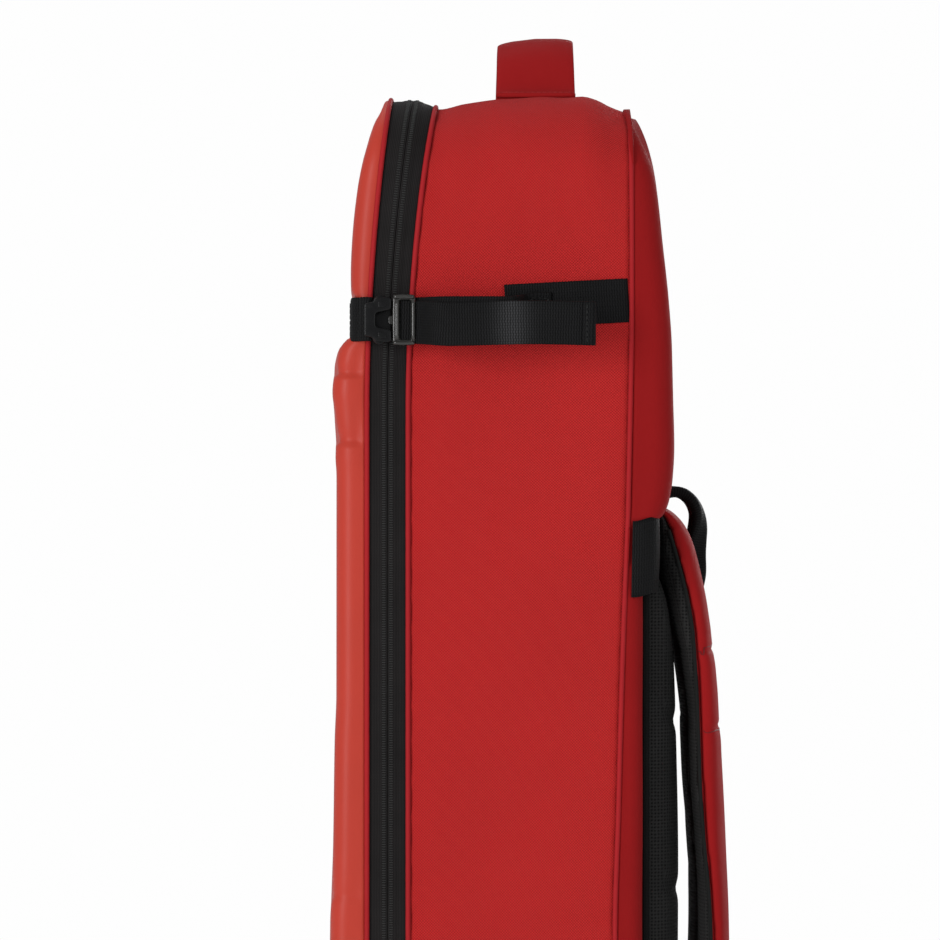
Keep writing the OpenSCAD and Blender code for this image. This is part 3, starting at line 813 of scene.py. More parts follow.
def build_piping(name, depth, lift, bottom, body):
    """Cord in a folded strip of fabric, proud of the two panels that it joins."""
    line = resample(skin_line(depth, lift, bottom), 3 * MM)
    s = np.arange(len(line)) * 3.0
    bead = np.array([ring(PIPING_R * (1 + 0.035 * math.sin(k * 1.3) * math.sin(k * 0.37)), 12)
                     for k in s])
    y, z = line[:, 1], line[:, 2]
    outward = np.stack([np.zeros_like(y), np.where(z < CORNER_Z, np.sign(y), y / HALF_W),
                        np.where(z < CORNER_Z, 0, 1.0)], axis=1)
    dress(sweep(name, line, outward, bead), "piping", body, replaces=(name,))


ZIP_GAP = 0.12 * MM
COIL_PITCH = 1.36 * MM
COIL_REACH = 2.1 * MM
# Height of the tape over its place, in mm, from its sewn edge to the coil
TAPE_RISE = [(0, -0.9), (0.25, -0.8), (0.45, -0.85), (0.56, -0.5), (0.8, -0.35), (0.93, -0.35),
             (1, -0.5)]


def build_zip_half(body, name, seam):
    """One tape with its edge stitched under the piping, and its row of coil turns."""
    toward = 1 if ZIP_MIDDLE > seam else -1
    t = np.linspace(0, 1, 17)
    depths = seam + (ZIP_MIDDLE - toward * ZIP_GAP - seam) * t
    outline = arch(ZIP_BOTTOM)
    s = np.linspace(0, ARCH_S[-1], len(outline[0]))
    sag = np.interp(s, ARCH_S, 0.16 * MM * ripple(ARCH_S, ARCH_S * 0, 3.0))
    rows = list(zip(depths, curve(t, TAPE_RISE, 1) * MM))[::toward]
    outer = np.stack([skin_line(d, rise + sag, ZIP_BOTTOM) for d, rise in rows])
    inner = np.stack([skin_line(d, rise + sag - 0.8 * MM, ZIP_BOTTOM) for d, rise in rows])
    tape = shell(name + "_tape", outer, inner, arc_uv(outer, depths[::toward]))
    dress(tape, "zip_tape", body, replaces=(name + "_tape",))
    coil_depth = ZIP_MIDDLE - toward * (COIL_REACH / 2 + 1.0 * MM)
    coil = resample(skin_line(coil_depth, -0.36 * MM, ZIP_BOTTOM + 4 * MM), COIL_PITCH)
    if toward < 0:
        coil = (coil[1:] + coil[:-1]) / 2
    tangent = unit(np.gradient(coil, axis=0))
    across = unit(np.array([1.0, 0, 0]) - tangent * tangent[:, :1])
    out = np.cross(tangent, across)
    turns = blocks(name + "_coil", coil, across, tangent, out, (COIL_REACH, 0.6 * MM, 0.8 * MM))
    dress(turns, "zip_coil", body, replaces=(name + "_teeth",))


# Share of a cover's depth that its rounded edge may take
EDGE_SHARE = 0.85


def dome(seam_depth, side, bottom, depth_at, edge_r, crown_h, marks, bottom_r, thickness):
    """Moulded or padded cover on a seam: walls, a rounded edge and a crowned face. side is -1 for
    the lid and 1 for the back. depth_at gives the wall's depth at a height, and marks the dents
    along the normal. Returns the outer and inner grids, closed round the outline."""
    count = int((CORNER_Z - bottom) / (2.2 * MM))
    half = [(HALF_W, z) for z in np.linspace(bottom + bottom_r, CORNER_Z, count)]
    half += [(INNER_HALF + CORNER_R * math.cos(a), CORNER_Z + CORNER_R * math.sin(a))
             for a in np.radians(np.linspace(0, 90, 16)[1:])]
    half += [(y, TOP_Z) for y in np.linspace(INNER_HALF, 0, 19)[1:]]
    foot = [(y, bottom) for y in np.linspace(0, HALF_W - bottom_r, 27)[1:]]
    foot += [(HALF_W - bottom_r + bottom_r * math.sin(a), bottom + bottom_r - bottom_r * math.cos(a))
             for a in np.radians(np.linspace(0, 90, 7)[1:-1])]
    half = foot + half
    line = [(-y, z) for y, z in half] + [(y, z) for y, z in half[-2::-1]] + [(0, bottom)]
    keep = [line[0]] + [b for a, b in zip(line, line[1:]) if math.dist(a, b) > 0.3 * MM]
    yz = np.array(keep)
    y, z = yz.T
    along = np.roll(yz, -1, 0) - np.roll(yz, 1, 0)
    normal = unit(np.stack([-along[:, 1], along[:, 0]], axis=1))
    depth = depth_at(z)
    radius = np.minimum(edge_r, depth * EDGE_SHARE)
    base_x = place_x(seam_depth, z) if side < 0 else np.full_like(z, seam_depth)
    over = crown(np.full_like(z, seam_depth), z) * smoothstep(bottom, bottom + 60 * MM, z)
    # Each row: how far it is inside the outline, its depth, and its share of the way to the middle
    rows = []
    for k in np.linspace(0, 1, 5)[:-1]:
        rows.append((np.zeros_like(z), (depth - radius) * k, 0.0))
    for a in np.radians(np.linspace(0, 90, 9)):
        rows.append((radius * (1 - math.cos(a)), depth - radius + radius * math.sin(a), 0.0))
    for k in (0.03, 0.07, 0.13, 0.2, 0.3, 0.42, 0.55, 0.7, 0.85, 1.0):
        rows.append((radius, depth, k))
    grid = []
    for inset, deep, k in rows:
        py = y + normal[:, 0] * (over - inset)
        pz = z + normal[:, 1] * (over - inset)
        centre_z = np.clip(pz, bottom + 30 * MM, TOP_Z - 40 * MM)
        py, pz = py * (1 - k), pz * (1 - k) + centre_z * k
        face = depth_at(pz) if k > 0 else deep
        bulge = crown_h * (1 - (1 - k) ** 2)
        if side < 0:
            x = place_x(seam_depth, pz) - face - bulge
        else:
            x = base_x + face + bulge + curve(z, REAR_DRIFT) * np.clip(1 - deep / (depth - radius), 0, 1)
        grid.append(np.stack([x, py, pz], axis=1))
    grid = np.stack(grid)
    n = normals_of(grid, wrap=True) * (1 if side < 0 else -1)
    if n[len(rows) - 3, len(keep) // 4, X] * side < 0:
        n = -n
    fade = np.clip(np.abs(grid[..., X] - base_x[None]) / (4 * MM), 0, 1)
    grid = grid + n * (marks(grid) * fade)[..., None]
    n[0] = n[1]
    inner = grid - n * thickness
    inner[0, :, 0] = grid[0, :, 0]
    return grid, inner


# Depth of the lid's wall against height, in mm
LID_DEPTH = [(29, 12), (45, 15.5), (90, 17.5), (200, 20), (330, 21), (450, 20.6), (502, 19.7),
             (553, 18.0), (612, 17.2), (640, 16.2), (770, 16.0), (800, 17.2), (812, 18.0), (828, 17.6),
             (836, 16.2), (839.5, 14.8), (841.5, 13.2), (844, 10.6), (847, 5.6), (866, 6.2),
             (870.5, 9.4), (893, 11), (911, 11.3), (930, 10.9), (945, 9.7), (953, 8.5), (960, 7.5),
             (968, 5.9), (974, 3.7), (980, 2.7)]
LID_EDGE_R = 9.5 * MM
LID_CROWN = 2.2 * MM
# Height, slope across the lid and depth of each moulded ledge, in mm
LEDGES = [(823, 0.0, 2.8), (784.5, 0.0, 2.7), (516, 0.16, 1.2), (470, 0.16, 1.0), (250, -0.1, 1.0)]


def lid_marks(grid):
    """Moulded ledges: the lid steps in above each one and comes back, faint in the middle."""
    y, z = grid[..., Y], grid[..., Z]
    total = np.zeros_like(z)
    for level, slope, deep in LEDGES:
        above = z - (level * MM + slope * (np.abs(y) - HALF_W * 0.5))
        step = smoothstep(-1.6 * MM, 1.2 * MM, above) * np.exp(-np.maximum(above, 0) / (8 * MM))
        total -= deep * MM * step
        total += 0.25 * deep * MM * np.exp(-((above + 9 * MM) / (7 * MM)) ** 2)
    total *= 0.1 + 0.9 * smoothstep(0.55 * HALF_W, 0.85 * HALF_W, np.abs(y))
    total += 0.25 * MM * ripple(y * 0.5, z * 0.5, 1.9)
    return total


def build_lid():
    """Moulded lid and the lining on its inside."""
    grid, inner = dome(LID_SEAM, -1, LID_BOTTOM, lambda z: curve(z, LID_DEPTH), LID_EDGE_R, LID_CROWN,
                       lid_marks, bottom_r=13 * MM, thickness=3.4 * MM)
    obj = shell("lid_moulding", grid, inner, wrap=True, merge=1e-5, rims=(0,))
    dress(obj, "lid_coating", "front_lid",
          replaces=("lid_shell", "lid_near_wall", "lid_far_wall", "lid_top_wall", "lid_bottom_wall"))
    cover = grid + (inner - grid) * 1.04
    under = grid + (inner - grid) * 1.18
    cover[0, :, X] = under[0, :, X] = grid[0, :, X] - 0.1 * MM
    dress(shell("lid_lining", cover, under, wrap=True, merge=1e-5, rims=(0,)), "foam", "front_lid", LINING)


# Depth of the back cover behind its seam against height, in mm
BACK_DEPTH = [(3, 8.2), (60, 9.2), (300, 9.8), (690, 9.8), (733, 10.5), (738, 15.5), (743, 22),
              (752, 25.4), (765, 27.3), (782, 28.1), (808, 27.5), (840, 26.7), (866, 24.8), (900, 21.2),
              (920, 19.3), (941, 16.6), (955, 13.4), (966, 9.4), (974, 5.5), (980, 3)]


def build_back():
    """Back panel: flat below the yoke, a padded bulge above it."""
    grid, inner = dome(BACK_EDGE, 1, BASE_Z, lambda z: curve(z, BACK_DEPTH), 12 * MM, 2.5 * MM,
                       lambda g: 0.7 * MM * ripple(g[..., Y], g[..., Z] * 0.8, 0.4),
                       bottom_r=8 * MM, thickness=2 * MM)
    obj = shell("back_cover", grid, inner, wrap=True, merge=1e-5, rims=(0,))
    # The back cover gets the darker copy of the strap fabric, as painted shade.
    dress(obj, "strap_fabric", "bag_body", BACK_SHADED_FABRIC, replaces=("back_panel", "upper_back_pad"))


build_gusset()
build_lining()
build_piping("body_piping", (ZIP_REAR + FRONT_SEAM) / 2, -0.2 * MM, ZIP_BOTTOM, "bag_body")
build_piping("rear_piping", (REAR_SEAM + BACK_EDGE) / 2, 0.0 * MM, BASE_Z, "bag_body")
build_piping("lid_piping", (LID_SEAM + ZIP_FRONT) / 2, 0.1 * MM, ZIP_BOTTOM, "front_lid")
build_zip_half("bag_body", "body_zip", ZIP_REAR)
build_zip_half("front_lid", "lid_zip", ZIP_FRONT)
build_lid()
build_back()


# ---- Soft pads by cloth simulation ----

def apply_modifiers(obj):
    bpy.context.view_layer.update()
    mesh = evaluated_mesh(obj)
    obj.modifiers.clear()
    obj.data = mesh


PRESSURE = 5.0
CLOTH_FRAMES = 20


def inflate(obj, voxel, cap, held):
    """Fills a closed skin like a pad: remesh, cloth under pressure, no point moves further than cap.
    held(points) gives how firmly each point is sewn down, from 0 to 1."""
    remesh = obj.modifiers.new("remesh", "REMESH")
    remesh.mode = "VOXEL"
    remesh.voxel_size = voxel
    apply_modifiers(obj)
    rest = coords_of(obj)
    group = obj.vertex_groups.new(name="sewn")
    for k, w in enumerate(held(rest)):
        if w > 0.01:
            group.add([k], float(w), "REPLACE")
    cloth = obj.modifiers.new("cloth", "CLOTH")
    cloth.settings.quality = 5
    cloth.settings.mass = 0.3
    cloth.settings.tension_stiffness = 25
    cloth.settings.compression_stiffness = 25
    cloth.settings.bending_stiffness = 0.4
    cloth.settings.use_pressure = True
    cloth.settings.uniform_pressure_force = PRESSURE
    cloth.settings.effector_weights.gravity = 0
    cloth.settings.vertex_group_mass = "sewn"
    cloth.point_cache.frame_start = 1
    cloth.point_cache.frame_end = CLOTH_FRAMES
    for frame_number in range(1, CLOTH_FRAMES + 1):
        bpy.context.scene.frame_set(frame_number)
    moved = coords_of(obj.evaluated_get(bpy.context.evaluated_depsgraph_get()))
    obj.modifiers.clear()
    obj.vertex_groups.clear()
    shift = moved - rest
    far = np.linalg.norm(shift, axis=1, keepdims=True)
    set_coords(obj, rest + shift * np.minimum(1, cap / np.maximum(far, 1e-9)))
    bpy.context.scene.frame_set(1)
    smooth = obj.modifiers.new("smooth", "SMOOTH")
    smooth.iterations = 3
    subdivision = obj.modifiers.new("subdivision", "SUBSURF")
    subdivision.levels = subdivision.render_levels = 1
    apply_modifiers(obj)
    return obj


STITCH_PITCH = 3.2 * MM
STITCH_SIZE = (2.2 * MM, 0.55 * MM, 0.55 * MM)


def stitch_row(name, points, outward):
    """A row of stitches along a line of points, raised along outward."""
    line = resample(np.asarray(points, float), STITCH_PITCH)
    u = unit(line[1:] - line[:-1])
    w = np.broadcast_to(np.asarray(outward, float), u.shape)
    w = unit(w - u * np.sum(w * u, axis=1, keepdims=True))
    return blocks(name, (line[1:] + line[:-1]) / 2, u, np.cross(w, u), w, STITCH_SIZE)


def box_stitch(name, corners, outward, body, look):
    """Square of stitches with a cross in it."""
    a, b, c, d = corners
    lines = [(a, b), (b, c), (c, d), (d, a), (a, c), (b, d)]
    rows = [stitch_row(name + "_part", line, outward) for line in lines]
    dress(join(name, rows), "webbing", body, look)


def skin_half(depth, z=0.5):
    """Distance of the gusset's face from the middle plane, near enough for what lies on it."""
    return HALF_W + float(crown(depth, np.array(z))) - 0.5 * MM


# ---- Foam, base and hinge ----

def build_foam():
    """Foam behind the gusset on each side, and the slab in the back."""
    depths = np.linspace(FRONT_SEAM + 1.2 * MM, REAR_SEAM - 1.0 * MM, 14)
    sides = ((slice(0, SIDE_ROWS), "near_side_foam"), (slice(-SIDE_ROWS, None), "far_side_foam"))
    for side, node in sides:
        outline = tuple(a[side] for a in arch(LINING_FOOT))
        outer = np.stack([skin_line(d, -2.4 * MM, 0, outline) for d in depths])
        inner = np.stack([skin_line(d, -FOAM_T, 0, outline) for d in depths])
        dress(shell("foam_" + node[:4], outer, inner), "foam", "bag_body", replaces=(node,))
    edge = 15 * MM
    radius = CORNER_R - edge
    outline = [(-HALF_W + edge, BASE_Z + 5 * MM), (HALF_W - edge, BASE_Z + 5 * MM)]
    for sign, start in ((1, 0), (-1, 90)):
        for a in np.radians(np.linspace(start, start + 90, 9)):
            outline.append((sign * INNER_HALF + radius * math.cos(a), CORNER_Z + radius * math.sin(a)))
    to_world = ((middle("back_foam", X), 0, 0), (0, 1, 0), (0, 0, 1))
    slab = plate("foam_back", outline, [], 5.6 * MM, 1.5 * MM, to_world)
    dress(slab, "foam", "bag_body", replaces=("back_foam",))


def loop_outline(x1, x2, half, r, step=4 * MM):
    """Closed outline of the base in x and y, counter-clockwise, with outward normals."""
    points = []
    runs = [((x2, -half + r), (x2, half - r), (x2 - r, half - r), 0),
            ((x2 - r, half), (x1 + r, half), (x1 + r, half - r), 90),
            ((x1, half - r), (x1, -half + r), (x1 + r, -half + r), 180),
            ((x1 + r, -half), (x2 - r, -half), (x2 - r, -half + r), 270)]
    for a, b, c, start in runs:
        count = max(2, int(math.dist(a, b) / step))
        normal = (math.cos(math.radians(start)), math.sin(math.radians(start)))
        for t in np.linspace(0, 1, count, endpoint=False):
            points.append((a[0] + (b[0] - a[0]) * t, a[1] + (b[1] - a[1]) * t, *normal))
        for t in np.linspace(0, 90, 7, endpoint=False):
            n = (math.cos(math.radians(start + t)), math.sin(math.radians(start + t)))
            points.append((c[0] + r * n[0], c[1] + r * n[1], *n))
    return np.array(points)


BOOT_TOP = 27 * MM
BOOT_EDGE_R = 5 * MM
BOOT_T = 1.1 * MM


def build_base():
    """Coated boot: base and low walls in one fabric with a bound edge, round the side's feet."""
    p = loop_outline(low("base_panel", X), BACK_X + 2.2 * MM, HALF_W, 12 * MM)
    x, y, nx, ny = p.T
    rows = [(-1.3 * MM, BOOT_TOP), (-0.4 * MM, BOOT_TOP + 0.5 * MM), (0.25 * MM, BOOT_TOP)]
    rows += [(0.3 * MM, z) for z in np.linspace(BOOT_TOP - 2 * MM, BOOT_EDGE_R, 8)]
    rows += [(0.3 * MM - BOOT_EDGE_R * (1 - math.cos(a)), BOOT_EDGE_R * (1 - math.sin(a)))
             for a in np.radians([18, 36, 54, 72, 90])]
    grid = []
    for out, z in rows:
        wavy = BOOT_EDGE_R + 1 * MM < z < BOOT_TOP - 1 * MM
        out = out + 0.25 * MM * ripple(x + y, y * 0.7 + z, 0.6) * wavy
        grid.append(np.stack([x + nx * out, y + ny * out, np.full_like(x, z)], axis=1))
    centre_x = (x.min() + x.max()) / 2
    edge = grid[-1]
    for k in (0.12, 0.3, 0.55, 0.8, 1.0):
        hollow = np.full_like(x, 0.5 * MM * (1 - (1 - k) ** 2))
        grid.append(np.stack([centre_x + (edge[:, X] - centre_x) * (1 - k), edge[:, Y] * (1 - k), hollow],
                             axis=1))
    outer = np.stack(grid)
    n = normals_of(outer, wrap=True)
    n *= np.sign(np.sum(n * (outer - (centre_x, 0, 12 * MM))))
    boot = shell("base_boot", outer, outer - n * BOOT_T, wrap=True, merge=1e-5, rims=(0,))
    dress(boot, "base_coating", "bag_body", replaces=("base_panel", "front_sill"))
    for k, drop in enumerate((2.5 * MM, 8.5 * MM)):
        line = np.stack([x + nx * 0.55 * MM, y + ny * 0.55 * MM, np.full_like(x, BOOT_TOP - drop)], axis=1)
        row = resample(np.vstack([line, line[:1]]), 3.4 * MM)
        u = unit(np.gradient(row, axis=0))
        w = np.cross(u, np.array([0, 0, 1.0]))
        stitches = blocks("boot_stitches_%d" % (k + 1), row, u, np.cross(w, u), w,
                          (2.3 * MM, 0.6 * MM, 0.5 * MM))
        dress(stitches, "webbing", "bag_body", BLACK_THREAD)
    build_hinge_strip()


def build_hinge_strip():
    """Fabric hinge at the lid's foot, bowed out where it bends."""
    x1, x2 = low("lid_hinge_strip", X), high("lid_hinge_strip", X)
    y = np.linspace(low("lid_hinge_strip", Y), high("lid_hinge_strip", Y), 60)
    z = np.linspace(16 * MM, 34 * MM, 16)
    yy, zz = np.meshgrid(y, z)
    wave = 0.15 * MM * ripple(yy, zz * 3)
    proud = 0.5 * MM * np.exp(-((zz - 28 * MM) / (3 * MM)) ** 2)
    outer = np.stack([x1 - 0.3 * MM - proud + wave, yy, zz], axis=2)
    inner = np.stack([x2 - 0.5 * MM - proud + wave, yy, zz], axis=2)
    strip = shell("hinge_strip", outer, inner, np.stack([yy, zz], axis=2))
    dress(strip, "webbing", replaces=("lid_hinge_strip",),
          across=("bag_body", "front_lid", (x1, 0, 24 * MM), (x1, 0, 32 * MM)))


# ---- Webbing, buckle and stick strap ----

def lid_front(z, y):
    """Place along X of the lid's face at a height, y from the middle."""
    depth = curve(z, LID_DEPTH)
    flat = HALF_W - min(LID_EDGE_R, depth * EDGE_SHARE)
    bulge = LID_CROWN * (1 - np.minimum(1, np.abs(y) / flat) ** 2)
    return place_x(LID_SEAM, z) - depth - bulge


def build_front_webbing():
    """Webbing round the lid, folded back through the buckle's housing and sewn to itself."""
    z = STRAP_Z
    lift = 1.0 * MM
    seam = float(place_x(LID_SEAM, z))
    depth = float(curve(z, LID_DEPTH))
    r = depth * EDGE_SHARE
    wall = HALF_W - 1.0 * MM + lift
    arc_x, arc_y = seam - depth + r, wall - lift - r

    def corner(sign, extra=0.0):
        radius = r + lift + extra
        turn = np.radians(np.linspace(8, 82, 7))
        return [(arc_x - radius * math.sin(a), sign * (arc_y + radius * math.cos(a))) for a in turn]

    second = 1.9 * MM
    front_y = arc_y - 4 * MM
    path = [(lid_front(z, y) - lift - second, -y) for y in (84 * MM, front_y)]
    path += corner(-1, second)[::-1]
    loop_x, loop_y = -67.6 * MM, -127.0 * MM
    path += [(-72.5 * MM, -125.6 * MM), (-69.5 * MM, -128.3 * MM)]
    path += [(loop_x + second * math.cos(a), loop_y - second * math.sin(a))
             for a in np.radians([70, 0, -70])]
    path += [(-69.6 * MM, -124.4 * MM), (-72 * MM, -122.2 * MM)]
    path += corner(-1)[1:]
    path += [(lid_front(z, y) - lift, y) for y in np.linspace(-front_y, front_y, 21)]
    path += corner(1)[::-1]
    path += [(seam - 2.5 * MM, wall), (seam - 0.5 * MM, wall)]
    slope = np.array([(float(place_x(LID_SEAM, z + 0.01)) - seam) / 0.01 - 0.03, 0, 1])
    band = sweep("front_strap", flat_path(path, z, 1.5 * MM), slope, band_section(WEB_W, 1.5 * MM, 11, 3))
    dress(band, "webbing", "front_lid", replaces=("front_webbing",))
    x = lid_front(z, 95 * MM) - lift - second - 0.62 * MM
    y1, y2, z1, z2 = -88 * MM, -104 * MM, z - 9.5 * MM, z + 9.5 * MM
    corners = [(x, y1, z1), (x, y2, z1), (x, y2, z2), (x, y1, z2)]
    box_stitch("front_strap_stitches", corners, (-1, 0, 0), "front_lid", BLACK_THREAD)


BUCKLE_Y = middle("buckle_housing", Y)
BUCKLE_T = span("buckle_housing", Y)
BUCKLE_Z = middle("buckle_housing", Z) - 0.5 * MM


def buckle_plate(name, outer, y, thickness, bevel=0.7 * MM, holes=()):
    """Plate across the buckle at y, from outlines in mm."""
    shape = [(a * MM, b * MM) for a, b in outer]
    gaps = [[(a * MM, b * MM) for a, b in hole] for hole in holes]
    return plate(name, shape, gaps, thickness, bevel, ((0, y, BUCKLE_Z), (1, 0, 0), (0, 0, 1)))


def flipped(outline, sign):
    """Outline on the upper (1) or lower (-1) side of the buckle, still counter-clockwise."""
    return [(x, sign * z) for x, z in outline][::sign]


def buckle_bar(name, points, across, radius):
    """Round bar through points in mm from the buckle's middle."""
    path = [(x * MM, BUCKLE_Y + y * MM, BUCKLE_Z + z * MM) for x, y, z in points]
    return sweep(name, path, across, ring(radius * MM, 12))


def build_buckle():
    """Side-release buckle: housing of two faces with open sides, plug frame, and two sprung arms."""
    half = [(-69.9, 9.2), (-65.6, 10.0), (-64.6, 10.9), (-63.2, 12.4), (-56.4, 12.9), (-54.5, 12.0)]
    below = [(x, -z) for x, z in half]
    face = below + [(-54.5, -5.8), (-63.4, -4.0), (-63.4, 4.0), (-54.5, 5.8)] + half[::-1]
    front_y, back_y = BUCKLE_Y - BUCKLE_T / 2 + 1.3 * MM, BUCKLE_Y + BUCKLE_T / 2 - 1.2 * MM
    parts = [buckle_plate("p1", round_corners(face, 1.6), front_y, 2.6 * MM, 0.8 * MM),
             buckle_plate("p2", round_corners(below + half[::-1], 1.6), back_y, 2.4 * MM)]
    rail = [(-69.5, 7.4), (-68.0, 7.4), (-68.0, 9.3), (-69.5, 9.0)]
    lip = [(-56.4, 6.4), (-54.5, 6.4), (-54.5, 11.8), (-56.4, 12.2)]
    ridge = [(-62.0, 6.6), (-57.2, 7.6), (-57.2, 10.8), (-62.0, 10.4)]
    for sign in (-1, 1):
        parts += [buckle_plate("p3", flipped(rail, sign), BUCKLE_Y, BUCKLE_T - 3 * MM, 0.3 * MM),
                  buckle_plate("p4", flipped(lip, sign), front_y + 1.65 * MM, 1.3 * MM, 0.3 * MM),
                  buckle_plate("p5", round_corners(flipped(ridge, sign), 1.2), front_y - 1.25 * MM,
                               0.9 * MM, 0.35 * MM)]
    bar = buckle_bar("p6", [(-67.6, 0, z) for z in (-8, 0, 8)], (1, 0, 0), 1.0)
    dress(join("buckle_socket", parts + [bar]), "buckle_plastic", "front_lid",
          replaces=("buckle_housing",))

    outline = [(-54.1, -12.6), (-51, -14.4), (-43, -14.6), (-40.7, -12.6), (-40.7, 12.6), (-43, 14.6),
               (-51, 14.4), (-54.1, 12.6)]
    slot = rounded(-49.7, -43.5, -11.3, 11.3, 1.0)
    plug = [buckle_plate("q1", round_corners(outline, 2.6), BUCKLE_Y - 1.2 * MM, 4.6 * MM, 1.3 * MM,
                         [slot])]
    for x, r, y in ((-51.4, 1.5, -3.5), (-42.1, 1.25, -3.4)):
        plug.append(buckle_bar("q2", [(x, y, z) for z in np.linspace(-11.2, 11.2, 9)], (1, 0, 0), r))
    for sign in (-1, 1):
        rail = [(-53.2 + 11.6 * t, -3.2, sign * (12.9 + 0.35 * math.sin(math.pi * t)))
                for t in np.linspace(0, 1, 9)]
        plug.append(buckle_bar("q3", rail, (0, 0, 1), 1.25))
    tongue = [(-56.2, -2.2), (-53.6, -2.6), (-53.6, 2.6), (-56.2, 2.2)]
    plug.append(buckle_plate("q4", round_corners(tongue, 0.8), BUCKLE_Y + 1.3 * MM, 1.6 * MM, 0.4 * MM))
    dress(join("buckle_insert", plug), "buckle_plastic", "stick_strap", PALE_PLASTIC,
          replaces=("buckle_plug",))

    arm = [(-53.9, 7.4), (-53.9, 9.6), (-57.2, 10.6), (-58.8, 13.4), (-61, 14.3), (-63.4, 13.4),
           (-65.0, 11.4), (-65.7, 10.0), (-64.9, 9.2), (-62.6, 9.6), (-58.4, 8.4)]
    for sign, name in ((1, "upper"), (-1, "lower")):
        shape = round_corners(flipped(arm, sign), 1.1)
        dress(buckle_plate("latch_" + name, shape, BUCKLE_Y, 3.6 * MM, 0.8 * MM), "buckle_plastic",
              "latch_" + name, replaces=("latch_arm_" + name,))


def build_stick_strap():
    """Webbing sewn to the side, its arch over the stick's place, and the free end with a hem."""
    z0 = (low("stick_strap_anchor", Z) + high("stick_strap_anchor", Z)) / 2
    start, end = low("stick_strap_anchor", X), float(place_x(REAR_SEAM, z0)) - 0.6 * MM
    xs = np.linspace(start, end, 30)
    path = np.stack([xs, [-(skin_half(x) + 0.95 * MM) for x in xs],
                     z0 - 0.7 * MM + (xs - start) * 0.052], axis=1)
    band = sweep("strap_anchor", path, (0, 0, 1), band_section(WEB_W, 1.4 * MM, 9, 3))
    dress(band, "webbing", "bag_body", replaces=("stick_strap_anchor",))

    z = (low("stick_strap_arch", Z) + high("stick_strap_arch", Z)) / 2
    top = low("stick_strap_arch", Y) + 0.8 * MM
    foot = -(skin_half(0.02) + 2.5 * MM)
    points = [(-47.2, BUCKLE_Y / MM - 0.6), (-44, BUCKLE_Y / MM + 0.6), (-40.5, BUCKLE_Y / MM + 0.2),
              (-37, BUCKLE_Y / MM - 2.5), (-31, top / MM + 7), (-24, top / MM + 1.6), (-13, top / MM),
              (0, top / MM), (9, top / MM + 0.5), (15.5, top / MM + 3.6), (19, top / MM + 10),
              (20.4, foot / MM - 5), (23, foot / MM - 0.6),
              (28, foot / MM), (36, foot / MM)]
    arch_path = smooth_path([(x * MM, y * MM, z) for x, y in points], 1.4 * MM)
    arch_path[:, Z] += 3.2 * MM * smoothstep(12 * MM, 30 * MM, arch_path[:, X])
    arch_band = sweep("strap_arch", arch_path, (0, 0, 1), band_section(WEB_W - 0.3 * MM, 1.5 * MM, 9, 3))
    dress(arch_band, "webbing", replaces=("stick_strap_arch",),
          across=("bag_body", "stick_strap", (24 * MM, 0, 0), (-41 * MM, 0, 0)))
    y = foot - 0.9 * MM
    corners = [(24.5 * MM, y, z - 7 * MM), (34.5 * MM, y, z - 7 * MM),
               (34.5 * MM, y, z + 12 * MM), (24.5 * MM, y, z + 12 * MM)]
    box_stitch("strap_arch_stitches", corners, (0, -1, 0), "bag_body", BLACK_THREAD)

    z = (low("strap_tail", Z) + high("strap_tail", Z)) / 2
    last = high("strap_tail", X)
    points = [(-49.8, BUCKLE_Y / MM - 1.8), (-46.5, BUCKLE_Y / MM - 1.6), (-43.2, BUCKLE_Y / MM - 1.4),
              (-40, BUCKLE_Y / MM - 2.6), (-36.5, BUCKLE_Y / MM - 6.5), (-31, top / MM + 3),
              (-24, top / MM - 1.2), (-13, top / MM - 2.1), (10, top / MM - 2.3), (30, top / MM - 2.4),
              (46, top / MM - 2.1), (last / MM - 1.2, top / MM - 1.8),
              (last / MM, top / MM - 2.9), (last / MM - 1.4, top / MM - 3.9), (last / MM - 6, top / MM - 3.9)]
    tail_path = smooth_path([(x * MM, y * MM, z) for x, y in points], 0.9 * MM)
    tail_path[:, Z] += 1.6 * MM * (1 - smoothstep(-44 * MM, -20 * MM, tail_path[:, X]))
    tail_path[:, Z] += 0.5 * MM * np.sin(tail_path[:, X] * 60)
    tail = sweep("strap_end", tail_path, (0.0, 0, 1), band_section(WEB_W - 0.4 * MM, 1.35 * MM, 9, 3))
    dress(tail, "webbing", "stick_strap", PALE_PATCH_WEB, replaces=("strap_tail",))
    line = [(last - 4.2 * MM, top - 4.75 * MM, z - 11 * MM), (last - 4.2 * MM, top - 4.75 * MM, z + 11 * MM)]
    dress(stitch_row("strap_end_stitches", line, (0, -1, 0)), "webbing", "stick_strap", BLACK_THREAD)


